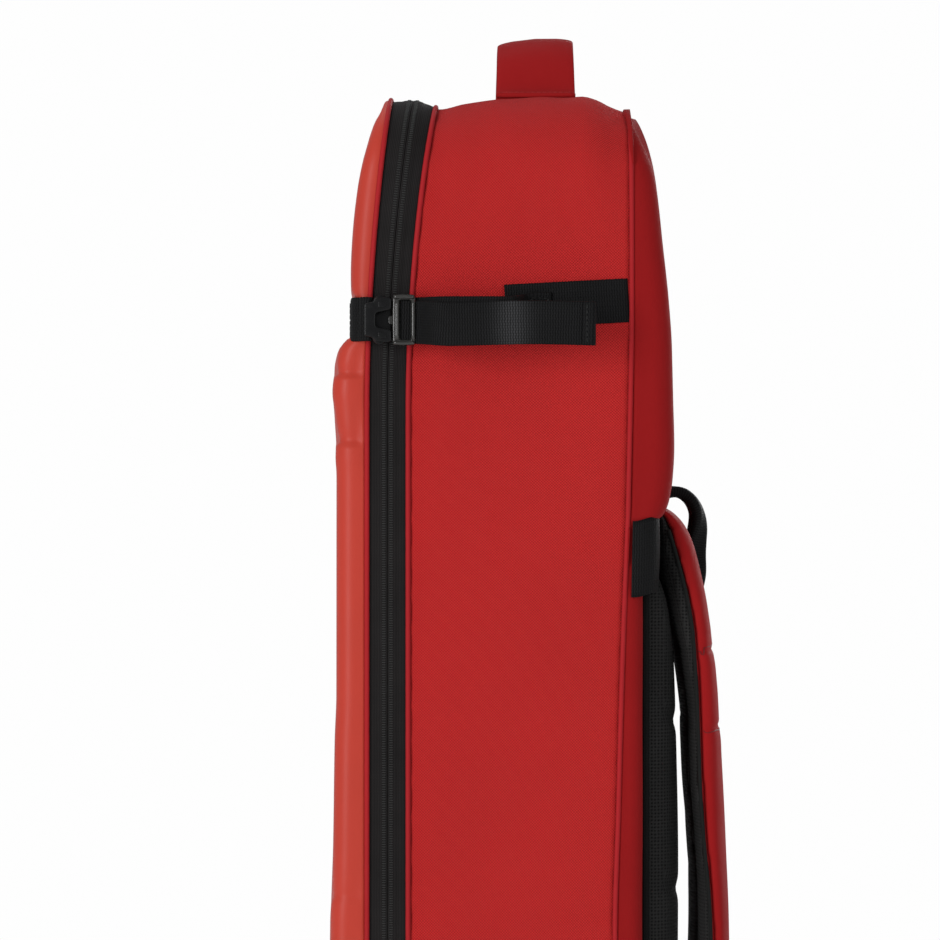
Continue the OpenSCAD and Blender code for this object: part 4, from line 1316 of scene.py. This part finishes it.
def build_sleeve():
    """Pouch for the end of the stick: a bowed fabric front with flanges, closed foot and bound top."""
    x1, x2 = low("stick_sleeve", X) + 2 * MM, high("stick_sleeve", X) - 0.5 * MM
    z1, z2 = low("stick_sleeve", Z), high("stick_sleeve", Z)
    deep = high("stick_sleeve", Y) - low("stick_sleeve", Y) - 1.5 * MM
    flange = 7 * MM
    wide = x2 - x1 - 2 * flange

    def section(t, grow=0.0):
        """Line across the pouch at share t of its depth."""
        a = np.linspace(math.pi, 0, 31)
        bow_x = x1 + flange + wide / 2 + (wide / 2 + grow) * np.sign(np.cos(a)) * np.abs(np.cos(a)) ** 0.75
        bow_y = (deep + grow) * t * np.sin(a) ** 0.62
        left = np.linspace(x1, x1 + flange, 5, endpoint=False)
        right = np.linspace(x2 - flange, x2, 6)[1:]
        return np.concatenate([left, bow_x, right]), np.concatenate([left * 0, bow_y, right * 0])

    rows, uvs = [], []
    for z in np.concatenate([np.linspace(z1, z1 + 16 * MM, 9), np.linspace(z1 + 16 * MM, z2, 34)[1:]]):
        t = float(np.sqrt(max(0.0, 1 - max(0.0, 1 - (z - z1) / (14 * MM)) ** 2)))
        t = t * (0.93 + 0.07 * (z - z1) / (z2 - z1))
        xs, ys = section(t)
        face = np.array([skin_half(x, z) for x in xs])
        dent = 0.9 * MM * ripple(xs * 1.3, np.full_like(xs, z) * 0.9, 5.0) * (ys / deep)
        rows.append(np.stack([xs, -(face + 1.0 * MM + ys + dent), np.full_like(xs, z)], axis=1))
        uvs.append(np.stack([xs + np.cumsum(np.abs(np.gradient(ys))), np.full_like(xs, z)], axis=1))
    outer = np.stack(rows)
    n = normals_of(outer)
    if n[..., Y].mean() > 0:
        n = -n
    inner = outer - n * 1.1 * MM
    pouch = shell("sleeve_pouch", outer, inner, np.stack(uvs))
    dress(pouch, "shell_fabric", "bag_body", replaces=("stick_sleeve",))
    rim = resample(outer[-1] - n[-1] * 0.55 * MM, 1.6 * MM)
    along = np.gradient(rim, axis=0)
    out = np.cross(np.array([0, 0, 1.0]), along)
    binding = sweep("sleeve_binding", rim - np.array([0, 0, 3.5 * MM]), (0, 0, 1),
                    band_section(9 * MM, 2.6 * MM, 7, 3))
    dress(binding, "webbing", "bag_body", BINDING)
    for k, x in enumerate((x1 + flange * 0.45, x2 - flange * 0.45)):
        y = -(skin_half(x) + 1.15 * MM)
        line = [(x, y, z1 + 3 * MM), (x, y, z2 - 9 * MM)]
        row = stitch_row("sleeve_stitches_%d" % (k + 1), line, (0, -1, 0))
        dress(row, "webbing", "bag_body", RED_THREAD)


# ---- Back: yoke, pads, harness ----

YOKE_Z1, YOKE_Z2 = low("shoulder_yoke", Z), high("shoulder_yoke", Z)


def build_yoke():
    """Ribbed band across the back and round both rear corners, padded where the straps start."""
    r = 13 * MM
    side = HALF_W - 0.9 * MM
    rows, uvs = [], []
    for z in np.linspace(YOKE_Z1 + 2.6 * MM, YOKE_Z2, 15):
        t = (z - YOKE_Z1) / (YOKE_Z2 - YOKE_Z1)
        back = (97.2 + 0.8 * t) * MM
        front = (81.6 + 0.9 * t) * MM
        points = [(front, -side), (84 * MM, -side)]
        points += [(back - r + r * math.sin(a), -side + r - r * math.cos(a))
                   for a in np.radians(np.linspace(0, 90, 9))]
        points += [(back, y) for y in np.linspace(-side + r, side - r, 60)[1:-1]]
        points += [(x, -y) for x, y in points[10::-1]]
        line = resample(np.array([(x, y, z) for x, y in points]), 2.6 * MM)
        if rows:
            line = line[np.round(np.linspace(0, len(line) - 1, len(rows[0]))).astype(int)]
        rise = smoothstep(84 * MM, 96 * MM, line[:, X]) * 2.6 * MM
        line[:, Z] += rise
        rows.append(line)
        s = np.concatenate([[0], np.cumsum(np.linalg.norm(np.diff(line, axis=0), axis=1))])
        uvs.append(np.stack([s, np.full_like(s, z)], axis=1))
    outer = np.stack(rows)
    n = normals_of(outer)
    if np.sum(n[..., X]) < 0:
        n = -n
    puff_up = 0.8 * MM * np.sin(np.linspace(0, math.pi, len(rows)))[:, None, None]
    outer = outer + n * puff_up
    inner = outer - n * 2.4 * MM
    band = shell("yoke_band", outer, inner, np.stack(uvs))
    dress(band, "webbing", "bag_body", replaces=("shoulder_yoke", "anchor_patch_right", "anchor_patch_left"))


def rounded_slab(name, outline, x1, x2, inset=0.0):
    """Closed block between two depths with the given outline in y and z."""
    y = np.array([p[0] for p in outline])
    z = np.array([p[1] for p in outline])
    cy, cz = y.mean(), z.mean()
    rows = []
    for x, k in ((x1, 0.0), (x1, 0.6), (x1, 1.0), ((x1 + x2) / 2, 1.0), (x2, 0.9), (x2, 0.5), (x2, 0.0)):
        rows.append(np.stack([np.full_like(y, x), cy + (y - cy) * k, cz + (z - cz) * k], axis=1))
    grid = np.stack(rows)
    faces = grid_faces(len(rows), len(outline), wrap=True)
    return close_up(make_mesh(name, grid.reshape(-1, 3), faces), 1e-6)


def build_back_pads():
    """Two ventilated pads: knitted mesh blown up over foam by simulation, with sewn channels."""
    y1, y2 = low("back_mesh_pad_left", Y), high("back_mesh_pad_left", Y)
    z1, z2 = low("back_mesh_pad_left", Z), YOKE_Z1 + 24 * MM
    x1, x2 = BACK_X - 1.5 * MM, high("back_mesh_pad_left", X) - 1.5 * MM
    outline = resample(np.array([(0, y, z) for y, z in rounded(y1 + 2 * MM, y2 - 2 * MM, z1 + 2 * MM, z2 - 2 * MM, 16 * MM, 8)]
                                + [(0, y2 - 18 * MM, z1 + 2 * MM)]), 5 * MM)[:, 1:]
    pad = rounded_slab("back_pad_left", [tuple(p) for p in outline], x1, x2)
    pad = inflate(pad, 5.0 * MM, 7 * MM, lambda p: (p[:, X] < x1 + 2.6 * MM).astype(float))
    co, n = coords_of(pad), coords_of(pad, "normal")
    groove = np.zeros(len(co))
    for level in (z1 + 0.27 * (z2 - z1), z1 + 0.52 * (z2 - z1), z1 + 0.77 * (z2 - z1)):
        bend = level + 10 * MM * ((co[:, Y] - (y1 + y2) / 2) / (y2 - y1) * 2) ** 2 - 5 * MM
        groove += np.exp(-((co[:, Z] - bend) / (4.5 * MM)) ** 2)
    out = smoothstep(x1 + 4 * MM, x2, co[:, X])
    co = co - n * (groove * out * 1.5 * MM + 0.35 * MM * (1 + ripple(co[:, Y], co[:, Z])) * out)[:, None]
    set_coords(pad, co)
    dress(pad, "spacer_mesh", "bag_body", replaces=("back_mesh_pad_left",))
    twin = mirrored(pad, "back_pad_right")
    dress(twin, "spacer_mesh", "bag_body", replaces=("back_mesh_pad_right",))
    loop = resample(np.array([(BACK_X + 2.4 * MM, y, z) for y, z in
                              rounded(y1 + 1.2 * MM, y2 - 1.2 * MM, z1 + 1.6 * MM, z2, 18 * MM, 8)]), 3 * MM)
    cord = sweep("back_pad_edge_left", np.vstack([loop, loop[:2]]), (1, 0, 0),
                 band_section(4.6 * MM, 3.0 * MM, 5, 4))
    dress(cord, "webbing", "bag_body", BINDING)
    dress(mirrored(cord, "back_pad_edge_right"), "webbing", "bag_body", BINDING)


# The strap's dividing line between its red face and its mesh, x and z in mm, top to foot
STRAP_LINE = [(96.5, 747), (100.5, 744), (103.6, 738.5), (107, 728), (110.3, 716), (113.5, 704),
              (116.2, 692), (117.8, 681.7), (119, 672), (121, 638), (122.1, 610), (123.2, 581),
              (125.4, 552), (128, 524), (129, 502), (129.2, 480),
              (128.6, 440), (126.4, 400), (123.8, 370), (121.6, 352)]
STRAP_Y = (low("shoulder_pad_left", Y) + high("shoulder_pad_left", Y)) / 2
STRAP_W = high("shoulder_pad_left", Y) - low("shoulder_pad_left", Y)
CREASES = (666 * MM, 622 * MM, 470 * MM, 430 * MM)


def build_shoulder_straps():
    """Padded straps: red fabric face over foam, mesh against the back, bound edges, cross seams."""
    line = smooth_path([(x * MM, STRAP_Y, z * MM) for x, z in STRAP_LINE], 5 * MM)
    length = np.concatenate([[0], np.cumsum(np.linalg.norm(np.diff(line, axis=0), axis=1))])
    share = length / length[-1]
    tangent = np.gradient(line, axis=0)
    tangent /= np.linalg.norm(tangent, axis=1, keepdims=True)
    out = np.cross(tangent, (0, 1, 0))
    if out[len(out) // 2, X] < 0:
        out = -out
    widths = [(0, 0.78), (0.1, 0.93), (0.25, 1), (0.8, 0.95), (0.93, 0.74), (1, 0.46)]
    width = STRAP_W * curve(share, widths, 1)
    face_t = [(0, 1.5), (0.015, 5), (0.04, 9.4), (0.07, 11.2), (0.2, 10.4), (0.28, 12.2),
              (0.42, 12.4), (0.55, 10.4),
              (0.8, 9.6), (0.94, 6), (1, 3)]
    mesh_t = [(0, 1.5), (0.03, 6), (0.08, 10), (0.13, 10.5), (0.18, 9), (0.23, 6), (0.33, 4),
              (0.5, 4), (0.6, 5.5),
              (0.8, 7), (0.94, 5), (1, 3)]
    layers = [("face", 1, "strap_fabric", face_t), ("mesh", -1, "spacer_mesh", mesh_t)]
    for layer, sign, slot, taper in layers:
        sections = []
        for w, h in zip(width, curve(share, taper, 1) * MM):
            section = pad_section(w - 2 * MM, 2 * h, 44, 3.0)
            sections.append(np.maximum(section, (-w, 0.0)))
        sections = np.array(sections)
        centre = line + out * sign * 0.2 * MM
        across = np.broadcast_to(np.array([0, 1.0, 0]), centre.shape)
        up = np.cross(tangent, across)
        if np.sum(up[len(up) // 2] * out[len(up) // 2]) * sign < 0:
            sections = sections * np.array([1, -1])
        pad = sweep("strap_%s_left" % layer, centre, across, sections, merge=1e-6)

        def held(points):
            """Points near the bound edge or on a cross seam stay sewn."""
            k = np.argmin(np.abs(points[:, None, Z] - centre[None, :, Z]), axis=1)
            inner_face = np.sum((points - centre[k]) * out[k], axis=1) * sign < 1.6 * MM
            seam = np.min(np.abs(points[:, None, Z] - np.array(CREASES)[None]), axis=1) < 2.2 * MM
            return (inner_face | (seam & (sign > 0))).astype(float)

        pad = inflate(pad, 3.0 * MM, (1.6 if sign > 0 else 0.9) * MM, held)
        co, n = coords_of(pad), coords_of(pad, "normal")
        k = np.argmin(np.abs(co[:, None, Z] - centre[None, :, Z]), axis=1)
        away = np.sum((co - centre[k]) * out[k], axis=1) * sign
        outer = smoothstep(1 * MM, 4 * MM, away)
        dent = np.zeros(len(co))
        for crease in CREASES:
            bow = crease - 1.2 * MM * ((co[:, Y] - STRAP_Y) / STRAP_W * 2) ** 2
            dent += np.exp(-((co[:, Z] - bow) / (1.6 * MM)) ** 2)
            dent -= 0.3 * np.exp(-((co[:, Z] - bow + 9 * MM) / (6 * MM)) ** 2)
        depth = 0.9 * MM if sign > 0 else 0.4 * MM
        wrinkle = 0.3 * MM * ripple(co[:, Y] * 1.5, co[:, Z] * 1.5, 4.0)
        co = co - n * (outer * (dent * depth + wrinkle))[:, None]
        set_coords(pad, co)
        for piece, side in ((pad, "left"), (mirrored(pad, "strap_%s_right" % layer), "right")):
            node = "shoulder_pad_" if sign > 0 else "shoulder_mesh_"
            dress(piece, slot, "strap_" + side, replaces=(node + side,))
        if sign > 0:
            # Cross seams: thin cords round the strap at each crease, sewn in a darker red thread that also
            # serves as painted shade in the crease.
            seams = []
            for crease in CREASES:
                k = np.argmin(np.abs(centre[:, Z] - crease))
                turn = np.radians(np.linspace(-4, 184, 40))[:, None]
                reach = (centre[k] + np.array([0, 1, 0]) * width[k] * 0.6 * np.cos(turn)
                         + out[k] * 26 * MM * np.sin(turn))
                reach[:, Z] -= 1.2 * MM * ((reach[:, Y] - STRAP_Y) / STRAP_W * 2) ** 2
                near = [pad.closest_point_on_mesh(p)[1:3] for p in reach]
                reach = [place - outward * 0.25 * MM for place, outward in near]
                seams.append(sweep("s", resample(np.array(reach), 1.5 * MM), (0, 0, 1), ring(0.45 * MM, 6)))
            row = join("strap_seams_left", seams)
            dress(row, "strap_fabric", "strap_left", CREASE_SHADE_THREAD)
            dress(mirrored(row, "strap_seams_right"), "strap_fabric", "strap_right", CREASE_SHADE_THREAD)
    edge_path = np.vstack([line + np.array([0, 1, 0]) * (width / 2 - 0.9 * MM)[:, None],
                           (line - np.array([0, 1, 0]) * (width / 2 - 0.9 * MM)[:, None])[::-1]])
    outward = np.vstack([out, out[::-1]])
    edge_path = (edge_path - outward * 0.9 * MM)[3:-3]
    trim = sweep("strap_binding_left", resample(edge_path, 2.5 * MM), (0.35, 0.0, 0.02),
                 ring(1, 8) * np.array([1.1, 0.9]) * MM)
    dress(trim, "webbing", "strap_left", EDGE_BLACK)
    dress(mirrored(trim, "strap_binding_right"), "webbing", "strap_right", EDGE_BLACK)


def build_lower_webbing():
    """Webbing from the anchor patches up behind the ladder locks to the foot of the straps."""
    for side, sign in (("left", 1), ("right", -1)):
        anchor = "lower_anchor_" + side
        ay = (low(anchor, Y) + high(anchor, Y)) / 2
        az1, az2 = low(anchor, Z), high(anchor, Z)
        x0 = BACK_X + 1.0 * MM
        tab = [[(ay - 16 * MM) * 1, az1], [ay + 16 * MM, az1], [ay + 11 * MM, az2], [ay - 11 * MM, az2]]
        patch = plate("anchor_patch_low_" + side, round_corners([tuple(p) for p in tab], 4 * MM), [],
                      3.4 * MM, 0.8 * MM, ((x0 + 1.9 * MM, 0, 0), (0, 1, 0), (0, 0, 1)))
        dress(patch, "webbing", "bag_body", EDGE_BLACK, replaces=(anchor,))
        lx = (low("ladder_lock_" + side, X) + high("ladder_lock_" + side, X)) / 2
        ly = sign * STRAP_Y
        lz = low("ladder_lock_" + side, Z)
        points = [(x0 + 3.5 * MM, ay, az1 + 12 * MM), (x0 + 4.2 * MM, ay - sign * 1 * MM, az2 - 2 * MM),
                  (x0 + 8 * MM, ay - sign * 7 * MM, az2 + 30 * MM),
                  (x0 + 18 * MM, (ay * 0.55 + ly * 0.45), (az2 + lz) / 2 + 6 * MM),
                  (lx - 5 * MM, ly + sign * 5 * MM, lz - 26 * MM)]
        points += [(lx - 3.6 * MM, ly, lz + up * MM) for up in (-3, 8, 19, 29)]
        path = smooth_path(points, 2 * MM)
        across = np.linspace(0, 1, len(path))[:, None]
        across = np.array([0.0, 1.0, 0.18]) * (1 - across) + np.array([0, 1.0, 0]) * across
        band = sweep("lower_strap_" + side, path, across, band_section(WEB_W, 1.5 * MM, 9, 3))
        dress(band, "webbing", replaces=("lower_webbing_" + side,),
              across=("bag_body", "strap_" + side, (x0, ay, az2 + 10 * MM), (lx, ly, lz)))


def build_haul_loop():
    """Loop of folded webbing that hangs between the shoulder straps."""
    half = high("haul_loop", Y) - 6.5 * MM
    # Depth in mm, share of the half width, height in mm
    side = [(100.5, 1.0, 753), (105, 1.01, 755.2), (110.5, 1.02, 756.2), (116.2, 1.03, 754.8),
            (121.2, 1.04, 750.2), (124.2, 1.04, 743.2), (124.6, 1.03, 735), (122.8, 0.99, 721),
            (122.8, 0.88, 708), (121.2, 0.62, 699), (120.4, 0.25, 695.4)]
    points = [(x * MM, -half * s, z * MM) for x, s, z in side]
    points = smooth_path(points + [(x, -y, z) for x, y, z in points[::-1]], 1.8 * MM)
    leg = 1 - smoothstep(712 * MM, 758 * MM, points[:, Z])
    turn = leg * math.radians(82)
    across = np.stack([np.sin(turn), np.cos(turn), np.zeros_like(turn)], axis=1)
    bottom = 1 - smoothstep(5 * MM, half, np.abs(points[:, Y]))
    across = across * np.where(points[:, 1:2] > 0, (1, -1, 1), (1, 1, 1))
    across = across * (1 - bottom[:, None]) + np.array([1.0, 0, 0.1]) * bottom[:, None]
    thick = 6.6 * MM - 2.4 * MM * leg
    sections = np.array([band_section(12.4 * MM, t, 7, 4) for t in thick])
    loop = sweep("haul_webbing", points, across, sections)
    dress(loop, "webbing", "haul", replaces=("haul_loop",))


# ---- Handle ----

def build_handle():
    """Padded grip with flat ends sewn to the top: one band, fuller in the middle."""
    x = (low("carry_handle", X) + high("carry_handle", X)) / 2
    wide = high("carry_handle", X) - low("carry_handle", X)
    top = high("carry_handle", Z)
    foot = TOP_Z + 4.9 * MM
    out = high("handle_end_far", Y)
    half = [(out + 9 * MM, foot), (out + 1 * MM, foot + 0.5 * MM), (out - 5 * MM, foot + 6 * MM),
            (out - 9 * MM, foot + 15 * MM), (out - 15 * MM, foot + 24 * MM), (out - 25 * MM, top - 5.0 * MM),
            (out - 40 * MM, top - 2.6 * MM), (out - 58 * MM, top - 2.1 * MM)]
    path = [(x, -y, z) for y, z in half] + [(x, y, z) for y, z in half[::-1]]
    path = smooth_path(path, 3 * MM)
    s = np.linspace(-1, 1, len(path))
    sections = []
    for t in np.abs(s):
        w = wide * (1 + 0.035 * float(smoothstep(0.5, 1.0, t)))
        h = (6.4 - 3.6 * float(smoothstep(0.80, 0.93, t))) * MM
        section = pad_section(w, h, 44, 7.0)
        sag = -0.0044 * (section[:, 0] / MM - 7) ** 2 * MM * (1 - float(smoothstep(0.5, 0.9, t)))
        section[:, 1] -= sag
        sections.append(section)
    sections = np.array(sections)
    band = sweep("carry_band", path, (1, 0, 0), sections)
    n = coords_of(band, "normal")
    co = coords_of(band)
    if n[np.argmax(co[:, Z])][Z] < 0:
        band.data.flip_normals()
    dress(band, "strap_fabric", replaces=("carry_handle", "handle_end_near", "handle_end_far"),
          across=("bag_body", "handle", (x, 0, TOP_Z + 6 * MM), (x, 0, TOP_Z + 26 * MM)))
    z = foot + 1.55 * MM
    for side, sign in (("near", -1), ("far", 1)):
        y1, y2 = sign * (out + 1.5 * MM), sign * (out + 8 * MM)
        corners = [(x - 19 * MM, y1, z), (x + 19 * MM, y1, z), (x + 19 * MM, y2, z), (x - 19 * MM, y2, z)]
        box_stitch("handle_stitches_" + side, corners, (0, 0, 1), "bag_body", RED_THREAD)


def build_pocket():
    """Mesh pocket across the lid's inside with a bound top."""
    node = "lid_mesh_pocket"
    y1, y2, z1, z2 = low(node, Y), high(node, Y), low(node, Z), high(node, Z)
    y = np.linspace(y1, y2, 70)
    z = np.linspace(z1, z2, 110)
    yy, zz = np.meshgrid(y, z)
    sag = (1.5 * MM * (1 - (yy / y2) ** 2) * smoothstep(z1, z2, zz)
           + 0.5 * MM * ripple(yy, zz, 2.0) * (1 - (yy / y2) ** 2))
    x0 = high(node, X)
    front = np.stack([x0 + sag, yy, zz], axis=2)
    back = front - np.array([0.7 * MM, 0, 0])
    net = shell("lid_pocket", front, back)
    dress(net, "spacer_mesh", "front_lid", POCKET_MESH, replaces=(node,))
    line = resample(np.stack([front[-1][:, X] - 0.35 * MM, y, np.full_like(y, z2 - 4 * MM)], axis=1), 4 * MM)
    hem = sweep("lid_pocket_hem", line, (0, 0, 1), band_section(14 * MM, 2.0 * MM, 7, 3))
    dress(hem, "webbing", "front_lid", BINDING)


build_foam()
build_base()
build_front_webbing()
build_buckle()
build_stick_strap()
build_sleeve()
build_yoke()
build_back_pads()
build_shoulder_straps()
build_lower_webbing()
build_haul_loop()
build_handle()
build_pocket()


# ---- Camera, lights, floor ----

VIEW = Vector((-0.010, -3.0, 0.769))
camera = bpy.data.objects.new("camera", bpy.data.cameras.new("camera"))
camera.location = VIEW
camera.rotation_euler = (math.radians(90), 0, 0)
camera.data.sensor_width = 36
camera.data.lens = 194.2
camera.data.clip_end = 50
bpy.context.scene.collection.objects.link(camera)
bpy.context.scene.camera = camera


def lamp(name, place, aim, size, power, colour=(1, 1, 1)):
    data = bpy.data.lights.new(name, "AREA")
    data.shape = "RECTANGLE"
    data.size, data.size_y = size
    data.energy = power
    data.color = colour
    obj = bpy.data.objects.new(name, data)
    obj.location = place
    obj.rotation_euler = (Vector(aim) - Vector(place)).to_track_quat("-Z", "Y").to_euler()
    bpy.context.scene.collection.objects.link(obj)


lamp("key", (-2.0, -2.7, 1.2), (0, 0, 0.7), (1.2, 2.2), 66)
lamp("fill", (1.8, -2.8, 1.1), (0, 0, 0.7), (1.4, 2.0), 14)
lamp("back_fill", (1.6, 2.8, 1.8), (0, 0, 0.6), (2.0, 2.0), 46)
lamp("top", (-0.3, 0.6, 2.8), (0, 0, 0.8), (1.5, 1.5), 8)

world = bpy.data.worlds.new("studio")
world.use_nodes = True
bpy.context.scene.world = world
tree = world.node_tree
ray = tree.nodes.new("ShaderNodeLightPath")
seen, felt = tree.nodes["Background"], tree.nodes.new("ShaderNodeBackground")
seen.inputs["Color"].default_value = (0.99, 0.99, 0.99, 1)
felt.inputs["Color"].default_value = (0.96, 0.98, 1.0, 1)
felt.inputs["Strength"].default_value = 0.42
blend = tree.nodes.new("ShaderNodeMixShader")
tree.links.new(ray.outputs["Is Camera Ray"], blend.inputs[0])
tree.links.new(felt.outputs[0], blend.inputs[1])
tree.links.new(seen.outputs[0], blend.inputs[2])
tree.links.new(blend.outputs[0], tree.nodes["World Output"].inputs[0])
bpy.context.scene.view_settings.view_transform = "Standard"

turn = np.linspace(0, 2 * math.pi, 96, endpoint=False)
floor = make_mesh("floor", [(4 * math.cos(a), 4 * math.sin(a), 0) for a in turn], [list(range(96))])
look = Look("floor", 0.85, 0.1)
away = look.node("VectorMath", {0: look.place()}, operation="LENGTH").outputs["Value"]
fade = look.node("MapRange", {"Value": away, "From Min": 0.5, "From Max": 2.2},
                 interpolation_type="SMOOTHSTEP").outputs[0]
paper = look.finish(look.ramp(look.noise(260.0, 3.0), [(0.3, (0.80, 0.80, 0.80)), (0.7, (0.82, 0.82, 0.82))]))
light = look.node("Emission", {"Color": (0.99, 0.99, 0.99, 1)})
mixed = look.node("MixShader", {0: fade, 1: look.shader.outputs[0], 2: light.outputs[0]})
look.tree.links.new(mixed.outputs[0], look.tree.nodes["Material Output"].inputs[0])
floor.data.materials.append(paper)
